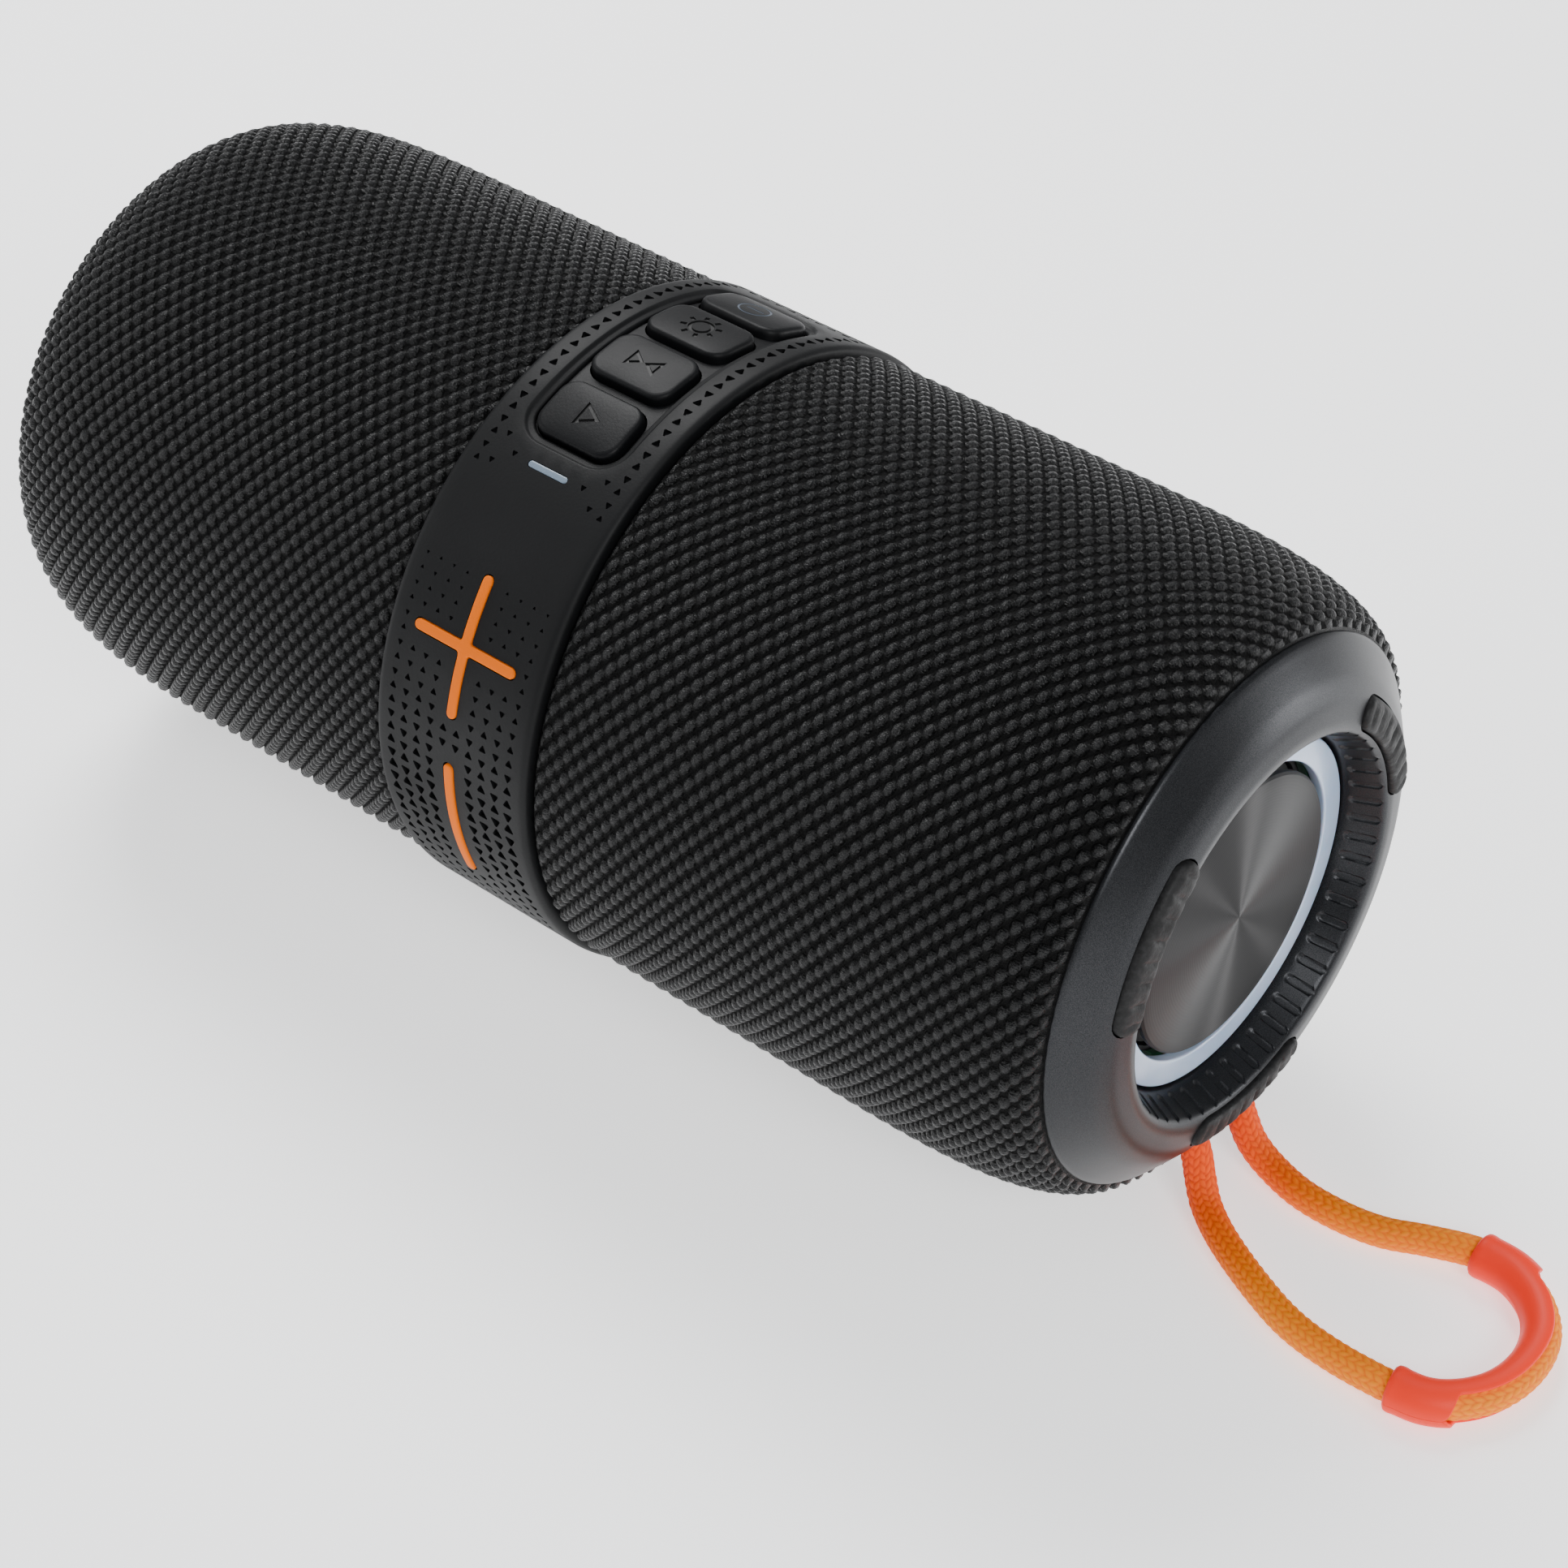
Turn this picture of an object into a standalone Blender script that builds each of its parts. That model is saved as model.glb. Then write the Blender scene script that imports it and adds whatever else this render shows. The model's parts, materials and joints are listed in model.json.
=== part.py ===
"""Portable bluetooth speaker: a fabric barrel lying on its side, with a rubber control belt round the
middle, a passive radiator and a light ring in each end, and a lanyard loop on one end cap.

The barrel's axis runs along X. The front is -Y, the buttons are on top (+Z) and the floor is at Z = 0.
Places round the barrel are given as phi, the angle from straight up, positive towards the front.
"""

from math import cos, pi, radians, sin

import bmesh
import bpy
from mathutils import Vector

MM = 0.001
GAP = 0.3                       # between pieces that touch
STEPS = 32                      # facets round the barrel
FINE = 20                       # facets round a driver, a cell or a small round piece

# Driving dimensions, in millimetres.
BARREL_RADIUS = 44.0            # outside of the fabric
AXIS_HEIGHT = 46.0              # barrel axis above the floor
SHOULDER_START = 55.2           # distance from the middle where the fabric starts to round over
SHOULDER_LENGTH = 37.4
SHOULDER_DROP = 13.2
SHOULDER_POWER = 3.5
SHOULDER_STATIONS = (66.0, 75.0, 81.0, 85.5, 88.8)
SEAM_X = 90.7                   # where the fabric meets the end cap
FABRIC_THICK = 1.2
CORE_WALL = 2.2
CORE_SPLIT = 0.15               # each half of the core stops this far from the middle plane
CORE_WINDOW_HALF = 20.9         # opening in the core's top, each side of the middle plane

BELT_RADIUS = 45.0
BELT_THICK = 2.2
BELT_HALF = 13.3
BELT_CROWN_HALF = 12.1
CUT_LOW = 38.0                  # cutters for the belt and tray run between these two radii
CUT_HIGH = 50.0

CREST_X = 96.45                 # highest ring of the end cap
FOOT_TOP_X = 97.3
DISC_RADIUS = 19.4
RING_INNER = 20.6               # light ring
RING_OUTER = 24.3
RING_FACE_X = 91.2

BUTTON_LENGTH = 13.6            # along the barrel
BUTTON_WIDTH = 9.1              # round the barrel
BUTTON_TOP = 45.5
BUTTON_BOTTOM = 41.9
BUTTON_PITCH = 13.9             # degrees
BUTTON_CORNER = 2.2
BUTTON_EDGE = 0.35
TRAY_LENGTH = 17.6
TRAY_WIDTH = 43.5
TRAY_CORNER = 4.8

KEY_TOP = 45.3
KEY_BOTTOM = 43.4
KEY_STROKE = 1.45               # width of the plus and minus strokes
PLUS_PHI = 64.0
PLUS_LENGTH = 17.3              # along the barrel
PLUS_WIDTH = 19.9               # round the barrel
MINUS_PHI = 98.5
MINUS_WIDTH = 20.2
WINDOW_PHI = 32.2
WINDOW_LENGTH = 6.5
WINDOW_WIDTH = 0.9

FLAP_PHI = -108.0
FLAP_LENGTH = 18.0
FLAP_WIDTH = 12.6
FLAP_OUTER = 44.95

FOOT_PHIS = (60.0, -60.0, 180.0)
FOOT_HALF_ANGLE = 22.5          # degrees each side, round ends included
FOOT_INNER = 27.5
FOOT_OUTER = 31.8
FOOT_FLOOR_X = 94.4             # bottom of the recess that holds a foot

DRIVER_X = 44.0
DRIVER_SEAT = 35.0              # the driver's flange sits this far in front of the middle plane
SCREW_X = 72.0
SCREW_Z = 27.5
SCREW_RADIUS = 1.5
BOSS_RADIUS = 3.4
BOSS_REACH = 27.5               # how far a screw boss runs from the middle plane
CELL_RADIUS = 9.2
CELL_LENGTH = 65.0
CELL_Y = 15.0
CELL_Z = 10.0

CORD_RADIUS = 2.1
CORD_POINT_STEP = 5.2
LEG_Y = 5.0                     # each lanyard leg leaves the cap this far from the middle plane
HOLE_START = (90.6, -32.5)      # x, and z from the axis, where a lanyard hole begins inside the cap
HOLE_LEAN = (0.45, -0.893)      # direction of a lanyard hole in x and z
BAR_DEPTH = 1.35                # how far behind the start of the holes the bar lies
BAR_HALF = 7.5
SLEEVE_RADIUS = 3.1

MIDDLE = Vector((0.0, 0.0, AXIS_HEIGHT))


# ---------------------------------------------------------------- scene and materials

def clear_scene():
    for item in list(bpy.data.objects):
        bpy.data.objects.remove(item, do_unlink=True)


def collection(name):
    group = bpy.data.collections.new(name)
    bpy.context.scene.collection.children.link(group)
    return group


def material(name, colour, roughness, metallic=0.0):
    made = bpy.data.materials.new(name)
    made.use_nodes = True
    shader = made.node_tree.nodes["Principled BSDF"]
    shader.inputs["Base Color"].default_value = (*colour, 1.0)
    shader.inputs["Roughness"].default_value = roughness
    shader.inputs["Metallic"].default_value = metallic
    made.diffuse_color = (*colour, 1.0)
    return made


clear_scene()
PARTS = collection("bluetooth_speaker")
CUTTERS = collection("cutters")

RUBBER_BLACK = (0.018, 0.019, 0.021)
FABRIC_BLACK = (0.012, 0.012, 0.013)
CAP_GREY = (0.055, 0.056, 0.062)
ORANGE = (1.0, 0.25, 0.01)
CORAL = (0.95, 0.07, 0.04)
PALE_BLUE = (0.42, 0.55, 0.72)
DARK_ALUMINIUM = (0.16, 0.16, 0.17)
PLASTIC_BLACK = (0.03, 0.03, 0.032)
STEEL = (0.55, 0.55, 0.56)
BOARD_GREEN = (0.02, 0.12, 0.05)


def finish(obj, look):
    """Give an object its own material and move it into the parts collection."""
    colour, roughness, metallic = look
    obj.data.materials.clear()
    obj.data.materials.append(material(obj.name, colour, roughness, metallic))
    return obj


def add_object(name, mesh, group=PARTS):
    obj = bpy.data.objects.new(name, mesh)
    group.objects.link(obj)
    return obj


def as_cutter(obj):
    for group in list(obj.users_collection):
        group.objects.unlink(obj)
    CUTTERS.objects.link(obj)
    obj.hide_render = True
    obj.display_type = "WIRE"
    return obj


def boolean(obj, cutter, operation="DIFFERENCE"):
    step = obj.modifiers.new(operation.lower() + "_" + cutter.name, "BOOLEAN")
    step.operation = operation
    step.solver = "EXACT"
    step.object = cutter
    return obj


def cut(obj, *cutters):
    for cutter in cutters:
        boolean(obj, as_cutter(cutter))
    return obj


def keep(obj, cutter):
    return boolean(obj, as_cutter(cutter), "INTERSECT")


def join(obj, other):
    return boolean(obj, as_cutter(other), "UNION")


# ---------------------------------------------------------------- shape helpers

def signed_area(points):
    """Area of a closed outline of (x, r) points, positive when it runs anticlockwise in (r, x)."""
    total = 0.0
    for (x_a, r_a), (x_b, r_b) in zip(points, points[1:] + points[:1]):
        total += r_a * x_b - r_b * x_a
    return total / 2.0


def turned(name, profile, steps=STEPS, axis="X", at=(0.0, 0.0), closed=True):
    """A solid of revolution from (along, radius) points in millimetres.

    axis "X" turns about the barrel's axis. axis "Y" turns about a line along +Y through
    x = at[0] and z = at[1], both from the barrel's middle.
    """
    points = list(profile)
    if closed and signed_area(points) > 0:
        points.reverse()
    on_axis = closed and min(r for _, r in points) < 1e-9
    if on_axis:
        while not (points[0][1] > 1e-9 and points[-1][1] < 1e-9):
            points = points[1:] + points[:1]
        points = [points[-1]] + points[:-1]
    mesh = bpy.data.meshes.new(name)
    vertices = [(r * MM, 0.0, x * MM) for x, r in points]
    count = len(vertices)
    edges = [(i, i + 1) for i in range(count - 1)]
    if closed and not on_axis:
        edges.append((count - 1, 0))
    mesh.from_pydata(vertices, edges, [])
    obj = add_object(name, mesh)
    screw = obj.modifiers.new("turn", "SCREW")
    screw.axis = "Z"
    screw.angle = 2.0 * pi
    screw.steps = steps
    screw.render_steps = steps
    screw.use_merge_vertices = True
    screw.merge_threshold = 1e-6
    if axis == "X":
        obj.rotation_euler = (0.0, pi / 2.0, 0.0)
        obj.location = MIDDLE * MM
    else:
        obj.rotation_euler = (-pi / 2.0, 0.0, 0.0)
        obj.location = (MIDDLE + Vector((at[0], 0.0, at[1]))) * MM
    return obj


def rounded_box(name, size, corner=0.0, edge=0.0, segments=3):
    """A box centred on its origin, with its upright corners and then its top edges rounded."""
    mesh = bpy.data.meshes.new(name)
    shape = bmesh.new()
    bmesh.ops.create_cube(shape, size=1.0)
    bmesh.ops.scale(shape, vec=Vector(size) * MM, verts=shape.verts)
    if corner > 0.0:
        upright = [e for e in shape.edges if abs(e.verts[0].co.z - e.verts[1].co.z) > 1e-9]
        bmesh.ops.bevel(shape, geom=upright, offset=corner * MM, offset_type="OFFSET",
                        segments=segments, profile=0.5, affect="EDGES")
    if edge > 0.0:
        top = max(v.co.z for v in shape.verts)
        rim = [e for e in shape.edges
               if all(v.co.z > top - 1e-9 for v in e.verts)
               and any(abs(f.normal.z) < 0.5 for f in e.link_faces)]
        bmesh.ops.bevel(shape, geom=rim, offset=edge * MM, offset_type="OFFSET",
                        segments=1, profile=0.5, affect="EDGES")
    shape.to_mesh(mesh)
    shape.free()
    return add_object(name, mesh)


def place_round(obj, phi, radius, x=0.0):
    """Stand an object on the barrel at phi, its own +Z pointing straight out of the barrel."""
    angle = radians(phi)
    outward = Vector((0.0, -sin(angle), cos(angle)))
    obj.location = (MIDDLE + outward * radius + Vector((x, 0.0, 0.0))) * MM
    obj.rotation_euler = (angle, 0.0, 0.0)
    return obj


def radial_box(name, phi, low, high, length, width, corner=0.0, edge=0.0, x=0.0):
    """A box from radius low to high at phi, length along the barrel and width round it."""
    box = rounded_box(name, (length, width, high - low), corner, edge)
    return place_round(box, phi, (low + high) / 2.0, x)


def plain_box(name, low, high):
    """A box between two corners given from the barrel's middle."""
    low_corner = Vector(low)
    high_corner = Vector(high)
    box = rounded_box(name, high_corner - low_corner)
    box.location = (MIDDLE + (low_corner + high_corner) / 2.0) * MM
    return box


def rod(name, start, end, radius, sides=FINE):
    """A round bar between two points given from the barrel's middle."""
    a = Vector(start)
    b = Vector(end)
    mesh = bpy.data.meshes.new(name)
    shape = bmesh.new()
    bmesh.ops.create_cone(shape, cap_ends=True, segments=sides, radius1=radius * MM,
                          radius2=radius * MM, depth=(b - a).length * MM)
    shape.to_mesh(mesh)
    shape.free()
    obj = add_object(name, mesh)
    obj.location = (MIDDLE + (a + b) / 2.0) * MM
    obj.rotation_euler = (b - a).to_track_quat("Z", "Y").to_euler()
    return obj


def tube(name, points, radius, resolution=2):
    """A closed tube along points in millimetres, as a mesh so that it can be cut."""
    curve = bpy.data.curves.new(name, "CURVE")
    curve.dimensions = "3D"
    curve.bevel_depth = radius * MM
    curve.bevel_resolution = resolution
    curve.use_fill_caps = True
    spline = curve.splines.new("POLY")
    spline.points.add(len(points) - 1)
    for slot, point in zip(spline.points, points):
        slot.co = (*(Vector(point) * MM), 1.0)
    holder = bpy.data.objects.new(name + "_route", curve)
    PARTS.objects.link(holder)
    bpy.context.view_layer.update()
    mesh = bpy.data.meshes.new_from_object(holder.evaluated_get(bpy.context.evaluated_depsgraph_get()))
    mesh.name = name
    bpy.data.objects.remove(holder, do_unlink=True)
    welded = bmesh.new()
    welded.from_mesh(mesh)
    bmesh.ops.remove_doubles(welded, verts=welded.verts, dist=1e-6)
    bmesh.ops.recalc_face_normals(welded, faces=welded.faces)
    welded.to_mesh(mesh)
    welded.free()
    return add_object(name, mesh)


def shoulder(x):
    """Radius of the fabric's outside at a distance x from the middle."""
    past = max(0.0, (x - SHOULDER_START) / SHOULDER_LENGTH)
    drop = 1.0 - (1.0 - past ** SHOULDER_POWER) ** (1.0 / SHOULDER_POWER)
    return BARREL_RADIUS - SHOULDER_DROP * drop


def below_shoulder(x, depth):
    """The point a given depth under the fabric's outside, square to it, as (along, radius)."""
    fall = shoulder(x - 0.05) - shoulder(x + 0.05)
    slope = Vector((0.1, -fall)).normalized()
    return (x + slope.y * depth, shoulder(x) - slope.x * depth)


def mirrored(profile, side):
    """A profile of (along, radius) points for the right end (side 1) or the left end (side -1)."""
    return [(side * x, r) for x, r in profile]


# ---------------------------------------------------------------- core and skin

def core_profile():
    """Outline of the core's wall: it follows the fabric's inside at one gap."""
    outer = [below_shoulder(x, FABRIC_THICK + GAP) for x in SHOULDER_STATIONS]
    inner = [(x, r - CORE_WALL) for x, r in reversed(outer)]
    return outer + inner + [(-x, r) for x, r in reversed(outer + inner)]


def screw_places():
    return [(sx * SCREW_X, sz * SCREW_Z) for sx in (1, -1) for sz in (1, -1)]


def core_window():
    """The hole in the core's top that the buttons work through."""
    reach = BUTTON_LENGTH / 2.0 + 0.5
    return plain_box("core_window_cutter", (-reach, -CORE_WINDOW_HALF, 30.0), (reach, CORE_WINDOW_HALF, 50.0))


def core_front():
    core = turned("core_front", core_profile())
    keep(core, plain_box("front_half", (-100.0, -60.0, -60.0), (100.0, -CORE_SPLIT, 60.0)))
    for side in (1, -1):
        x = side * DRIVER_X
        join(core, rod("driver_boss", (x, -DRIVER_SEAT, 0.0), (x, 3.5 - DRIVER_SEAT, 0.0), 23.6))
        cut(core, rod("driver_pocket", (x, -60.0, 0.0), (x, -DRIVER_SEAT, 0.0), 23.2))
        cut(core, rod("driver_hole", (x, -50.0, 0.0), (x, -20.0, 0.0), 18.9))
    for x, z in screw_places():
        join(core, rod("front_boss", (x, -BOSS_REACH, z), (x, -CORE_SPLIT, z), BOSS_RADIUS, 12))
        cut(core, rod("pilot_hole", (x, -14.0, z), (x, 5.0, z), SCREW_RADIUS + GAP, 12))
    cut(core, core_window())
    return finish(core, (PLASTIC_BLACK, 0.6, 0.0))


def core_rear():
    core = turned("core_rear", core_profile())
    keep(core, plain_box("rear_half", (-100.0, CORE_SPLIT, -60.0), (100.0, 60.0, 60.0)))
    for x, z in screw_places():
        join(core, rod("rear_boss", (x, CORE_SPLIT, z), (x, BOSS_REACH, z), BOSS_RADIUS, 12))
        cut(core, rod("head_pocket", (x, 25.5, z), (x, 50.0, z), 3.35, 12))
        cut(core, rod("shank_hole", (x, -5.0, z), (x, 30.0, z), SCREW_RADIUS + GAP, 12))
    cut(core, core_window())
    cut(core, radial_box("socket_hole", FLAP_PHI, 30.0, 50.0, 10.0, 4.4))
    return finish(core, (PLASTIC_BLACK, 0.6, 0.0))


def core_screws():
    for number, (x, z) in enumerate(screw_places(), start=1):
        screw = rod("core_screw_%d" % number, (x, -12.0, z), (x, 26.4, z), SCREW_RADIUS, 12)
        join(screw, rod("screw_head_%d" % number, (x, 25.8, z), (x, 27.6, z), 3.0, 12))
        finish(screw, (STEEL, 0.3, 1.0))


def fabric(name, side):
    """Knitted cover of one half: an open turned surface, thickened inwards."""
    stations = (BELT_HALF + GAP,) + SHOULDER_STATIONS + (SEAM_X,)
    outline = [(x, shoulder(x)) for x in stations]
    if side > 0:
        outline.reverse()
    else:
        outline = mirrored(outline, side)
    cover = turned(name, outline, closed=False)
    shell = cover.modifiers.new("thickness", "SOLIDIFY")
    shell.thickness = FABRIC_THICK * MM
    shell.offset = -1.0
    shell.use_even_offset = True
    return finish(cover, (FABRIC_BLACK, 0.9, 0.0))


def control_belt():
    inner = BELT_RADIUS - BELT_THICK
    half = [(0.0, BELT_RADIUS), (BELT_CROWN_HALF, BELT_RADIUS), (13.0, 44.6), (BELT_HALF, 43.9),
            (BELT_HALF, inner), (0.0, inner)]
    profile = half[1:-1] + [(-x, r) for x, r in reversed(half[1:-1])]
    belt = turned("control_belt", profile)
    tray = rounded_box("tray_cutter", (TRAY_LENGTH, TRAY_WIDTH, 30.0), TRAY_CORNER)
    tray.location = (MIDDLE + Vector((0.0, 0.0, 50.0))) * MM
    room = 2.0 * GAP
    stroke = KEY_STROKE + room
    cut(belt, tray,
        radial_box("plus_across", PLUS_PHI, CUT_LOW, CUT_HIGH, stroke, PLUS_WIDTH + room),
        radial_box("plus_along", PLUS_PHI, CUT_LOW, CUT_HIGH, PLUS_LENGTH + room, stroke),
        radial_box("minus_slot", MINUS_PHI, CUT_LOW, CUT_HIGH, stroke, MINUS_WIDTH + room),
        radial_box("window_slot", WINDOW_PHI, CUT_LOW, CUT_HIGH, WINDOW_LENGTH + room, WINDOW_WIDTH + room),
        radial_box("flap_hole", FLAP_PHI, CUT_LOW, CUT_HIGH, FLAP_LENGTH + room, FLAP_WIDTH + room))
    return finish(belt, (RUBBER_BLACK, 0.75, 0.0))


def base_feet():
    """Two rubber strips under the belt that stop the barrel rolling."""
    for name, middle_y in (("base_foot_front", -15.5), ("base_foot_rear", 15.5)):
        low = -AXIS_HEIGHT
        strip = plain_box(name, (-11.5, middle_y - 2.5, low), (11.5, middle_y + 2.5, -40.0))
        cut(strip, turned(name + "_seat", [(-20.0, BELT_RADIUS + GAP), (20.0, BELT_RADIUS + GAP),
                                           (20.0, 30.0), (-20.0, 30.0)]))
        finish(strip, (RUBBER_BLACK, 0.85, 0.0))


# ---------------------------------------------------------------- controls

def button_phis():
    return [BUTTON_PITCH * place for place in (1.5, 0.5, -0.5, -1.5)]


def keypad_frame():
    low = BELT_RADIUS - BELT_THICK
    frame = turned("keypad_frame", [(-9.5, 43.9), (9.5, 43.9), (9.5, low), (-9.5, low)])
    inside = rounded_box("tray_shape", (TRAY_LENGTH - 2.0 * GAP, TRAY_WIDTH - 2.0 * GAP, 30.0),
                         TRAY_CORNER - GAP)
    inside.location = (MIDDLE + Vector((0.0, 0.0, 50.0))) * MM
    keep(frame, inside)
    for phi in button_phis():
        cut(frame, radial_box("button_hole", phi, CUT_LOW, CUT_HIGH, BUTTON_LENGTH + 2.0 * GAP,
                              BUTTON_WIDTH + 2.0 * GAP, BUTTON_CORNER + GAP))
    return finish(frame, (RUBBER_BLACK, 0.7, 0.0))


def buttons():
    names = ("play_button", "pairing_button", "light_button", "power_button")
    for name, phi in zip(names, button_phis()):
        button = radial_box(name, phi, BUTTON_BOTTOM, BUTTON_TOP, BUTTON_LENGTH, BUTTON_WIDTH,
                            BUTTON_CORNER, BUTTON_EDGE)
        finish(button, (PLASTIC_BLACK, 0.6, 0.0))


def switches():
    for number, phi in enumerate(button_phis(), start=1):
        angle = radians(phi)
        outward = Vector((0.0, -sin(angle), cos(angle)))
        switch = rod("button_switch_%d" % number, outward * 40.3, outward * 41.15, 2.2, 12)
        finish(switch, (STEEL, 0.35, 1.0))


def button_board():
    board = turned("button_board", [(-9.0, 40.0), (9.0, 40.0), (9.0, 39.2), (-9.0, 39.2)])
    keep(board, plain_box("board_span", (-20.0, -21.5, 20.0), (20.0, 21.5, 50.0)))
    return finish(board, (BOARD_GREEN, 0.5, 0.0))


def key_arc(name, phi, width):
    """A stroke of a volume key that runs round the barrel."""
    half = KEY_STROKE / 2.0
    arc = turned(name, [(-half, KEY_TOP), (half, KEY_TOP), (half, KEY_BOTTOM), (-half, KEY_BOTTOM)])
    return keep(arc, radial_box(name + "_span", phi, CUT_LOW, CUT_HIGH, 4.0, width))


def volume_keys():
    plus = key_arc("volume_up_key", PLUS_PHI, PLUS_WIDTH)
    join(plus, radial_box("plus_bar", PLUS_PHI, KEY_BOTTOM, KEY_TOP, PLUS_LENGTH, KEY_STROKE))
    finish(plus, (ORANGE, 0.5, 0.0))
    minus = key_arc("volume_down_key", MINUS_PHI, MINUS_WIDTH)
    finish(minus, (ORANGE, 0.5, 0.0))


def status_window():
    bar = radial_box("status_window", WINDOW_PHI, 43.1, 45.05, WINDOW_LENGTH, WINDOW_WIDTH)
    return finish(bar, (PALE_BLUE, 0.3, 0.0))


def charging_port():
    flap = turned("port_flap", [(-9.0, FLAP_OUTER), (9.0, FLAP_OUTER), (9.0, 43.2), (-9.0, 43.2)])
    keep(flap, radial_box("flap_span", FLAP_PHI, CUT_LOW, CUT_HIGH, 30.0, FLAP_WIDTH))
    finish(flap, (RUBBER_BLACK, 0.75, 0.0))
    socket = radial_box("charging_socket", FLAP_PHI, 35.2, 42.6, 9.4, 3.8)
    cut(socket, radial_box("socket_mouth", FLAP_PHI, 36.2, 50.0, 8.4, 2.8))
    finish(socket, (STEEL, 0.3, 1.0))
    finish(radial_box("port_board", FLAP_PHI, 33.7, 34.9, 16.0, 10.0), (BOARD_GREEN, 0.5, 0.0))


# ---------------------------------------------------------------- ends

CAP_PROFILE = (
    (90.95, 38.3), (93.2, 35.5), (94.8, 33.4), (96.0, 31.0), (CREST_X, 28.2), (96.2, 26.7),
    (91.6, 24.75), (89.3, 24.6), (89.3, 26.2), (92.0, 27.0), (92.2, 31.5), (89.3, 35.6), (89.3, 36.9),
)

FOOT_PROFILE = (
    (94.7, FOOT_OUTER), (95.9, FOOT_OUTER - 0.1), (96.9, FOOT_OUTER - 0.8),
    (FOOT_TOP_X, FOOT_OUTER - 1.6), (FOOT_TOP_X, FOOT_INNER + 1.4), (96.9, FOOT_INNER + 0.5),
    (96.2, FOOT_INNER), (94.7, FOOT_INNER),
)


def end_arc(angle, middle, half_width, way):
    """Points of the half round that closes a foot's end, without its two corners."""
    centre = (middle * sin(angle), middle * cos(angle))
    points = []
    for step in (1, 2, 3):
        turn = pi * step / 4.0
        if way < 0:
            turn = pi - turn
        out = half_width * cos(turn)
        along = half_width * sin(turn) * way
        y = centre[0] + out * sin(angle) + along * cos(angle)
        z = centre[1] + out * cos(angle) - along * sin(angle)
        points.append((y, z))
    return points


def foot_outline(name, phi, side, grow, low, high):
    """A bent slot with round ends, seen along the barrel, as a prism from x = low to x = high."""
    inner = FOOT_INNER - grow
    outer = FOOT_OUTER + grow
    middle = (inner + outer) / 2.0
    half_width = (outer - inner) / 2.0
    swing = FOOT_HALF_ANGLE - (half_width - grow) / middle * 180.0 / pi
    steps = 5
    angles = [radians(phi - swing + 2.0 * swing * i / steps) for i in range(steps + 1)]
    points = [(outer * sin(a), outer * cos(a)) for a in angles]
    points += end_arc(angles[-1], middle, half_width, 1)
    points += [(inner * sin(a), inner * cos(a)) for a in reversed(angles)]
    points += end_arc(angles[0], middle, half_width, -1)
    mesh = bpy.data.meshes.new(name)
    shape = bmesh.new()
    base = [shape.verts.new((side * low * MM, -y * MM, z * MM)) for y, z in points]
    face = shape.faces.new(base)
    lifted = bmesh.ops.extrude_face_region(shape, geom=[face])
    moved = [item for item in lifted["geom"] if isinstance(item, bmesh.types.BMVert)]
    bmesh.ops.translate(shape, verts=moved, vec=(side * (high - low) * MM, 0.0, 0.0))
    bmesh.ops.recalc_face_normals(shape, faces=shape.faces)
    shape.to_mesh(mesh)
    shape.free()
    obj = add_object(name, mesh)
    obj.location = MIDDLE * MM
    return obj


def end_foot(name, phi, side):
    foot = turned(name, mirrored(FOOT_PROFILE, side))
    keep(foot, foot_outline(name + "_outline", phi, side, 0.0, 90.0, 100.0))
    return finish(foot, (RUBBER_BLACK, 0.85, 0.0))


def end_cap(name, side):
    cap = turned(name, mirrored(CAP_PROFILE, side))
    for number, phi in enumerate(FOOT_PHIS, start=1):
        cut(cap, foot_outline("%s_recess_%d" % (name, number), phi, side, GAP, FOOT_FLOOR_X, 100.0))
    if side > 0:
        for leg in (1, -1):
            x, z = HOLE_START
            start = (x - HOLE_LEAN[0], leg * LEG_Y, z - HOLE_LEAN[1])
            end = (x + 8.0 * HOLE_LEAN[0], leg * LEG_Y, z + 8.0 * HOLE_LEAN[1])
            cut(cap, rod("lanyard_hole", start, end, CORD_RADIUS + GAP, 16))
    return finish(cap, (CAP_GREY, 0.35, 0.6))


def radiator(word, side):
    """Passive radiator: a domed metal disc on a hub, in a rubber surround held by the end plate."""
    disc = [(92.5, 0.0), (91.75, DISC_RADIUS - 0.4), (91.4, DISC_RADIUS), (90.7, DISC_RADIUS),
            (90.5, DISC_RADIUS - 0.3), (90.5, 12.5), (85.0, 12.5), (85.0, 0.0)]
    finish(turned("radiator_disc_" + word, mirrored(disc, side)), (DARK_ALUMINIUM, 0.3, 1.0))
    roll = [(87.0, 12.8), (87.0, 14.6), (84.8, 16.4), (87.0, 18.2), (87.0, 20.0),
            (86.2, 20.0), (86.2, 18.8), (83.9, 16.4), (86.2, 14.0), (86.2, 12.8)]
    finish(turned("radiator_surround_" + word, mirrored(roll, side)), (RUBBER_BLACK, 0.7, 0.0))
    plate = [(87.6, 36.4), (87.6, 20.3), (85.6, 20.3), (85.6, 36.4)]
    finish(turned("end_plate_" + word, mirrored(plate, side)), (PLASTIC_BLACK, 0.6, 0.0))


def lights(word, side):
    face = RING_FACE_X
    ring = [(face, RING_INNER + 0.3), (face, RING_OUTER - 0.2), (face - 0.2, RING_OUTER),
            (89.4, RING_OUTER), (89.4, RING_INNER), (face - 0.3, RING_INNER)]
    finish(turned("light_ring_" + word, mirrored(ring, side)), (PALE_BLUE, 0.25, 0.0))
    board = [(89.1, 20.8), (89.1, 24.2), (87.9, 24.2), (87.9, 20.8)]
    finish(turned("light_board_" + word, mirrored(board, side)), (BOARD_GREEN, 0.5, 0.0))


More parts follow.
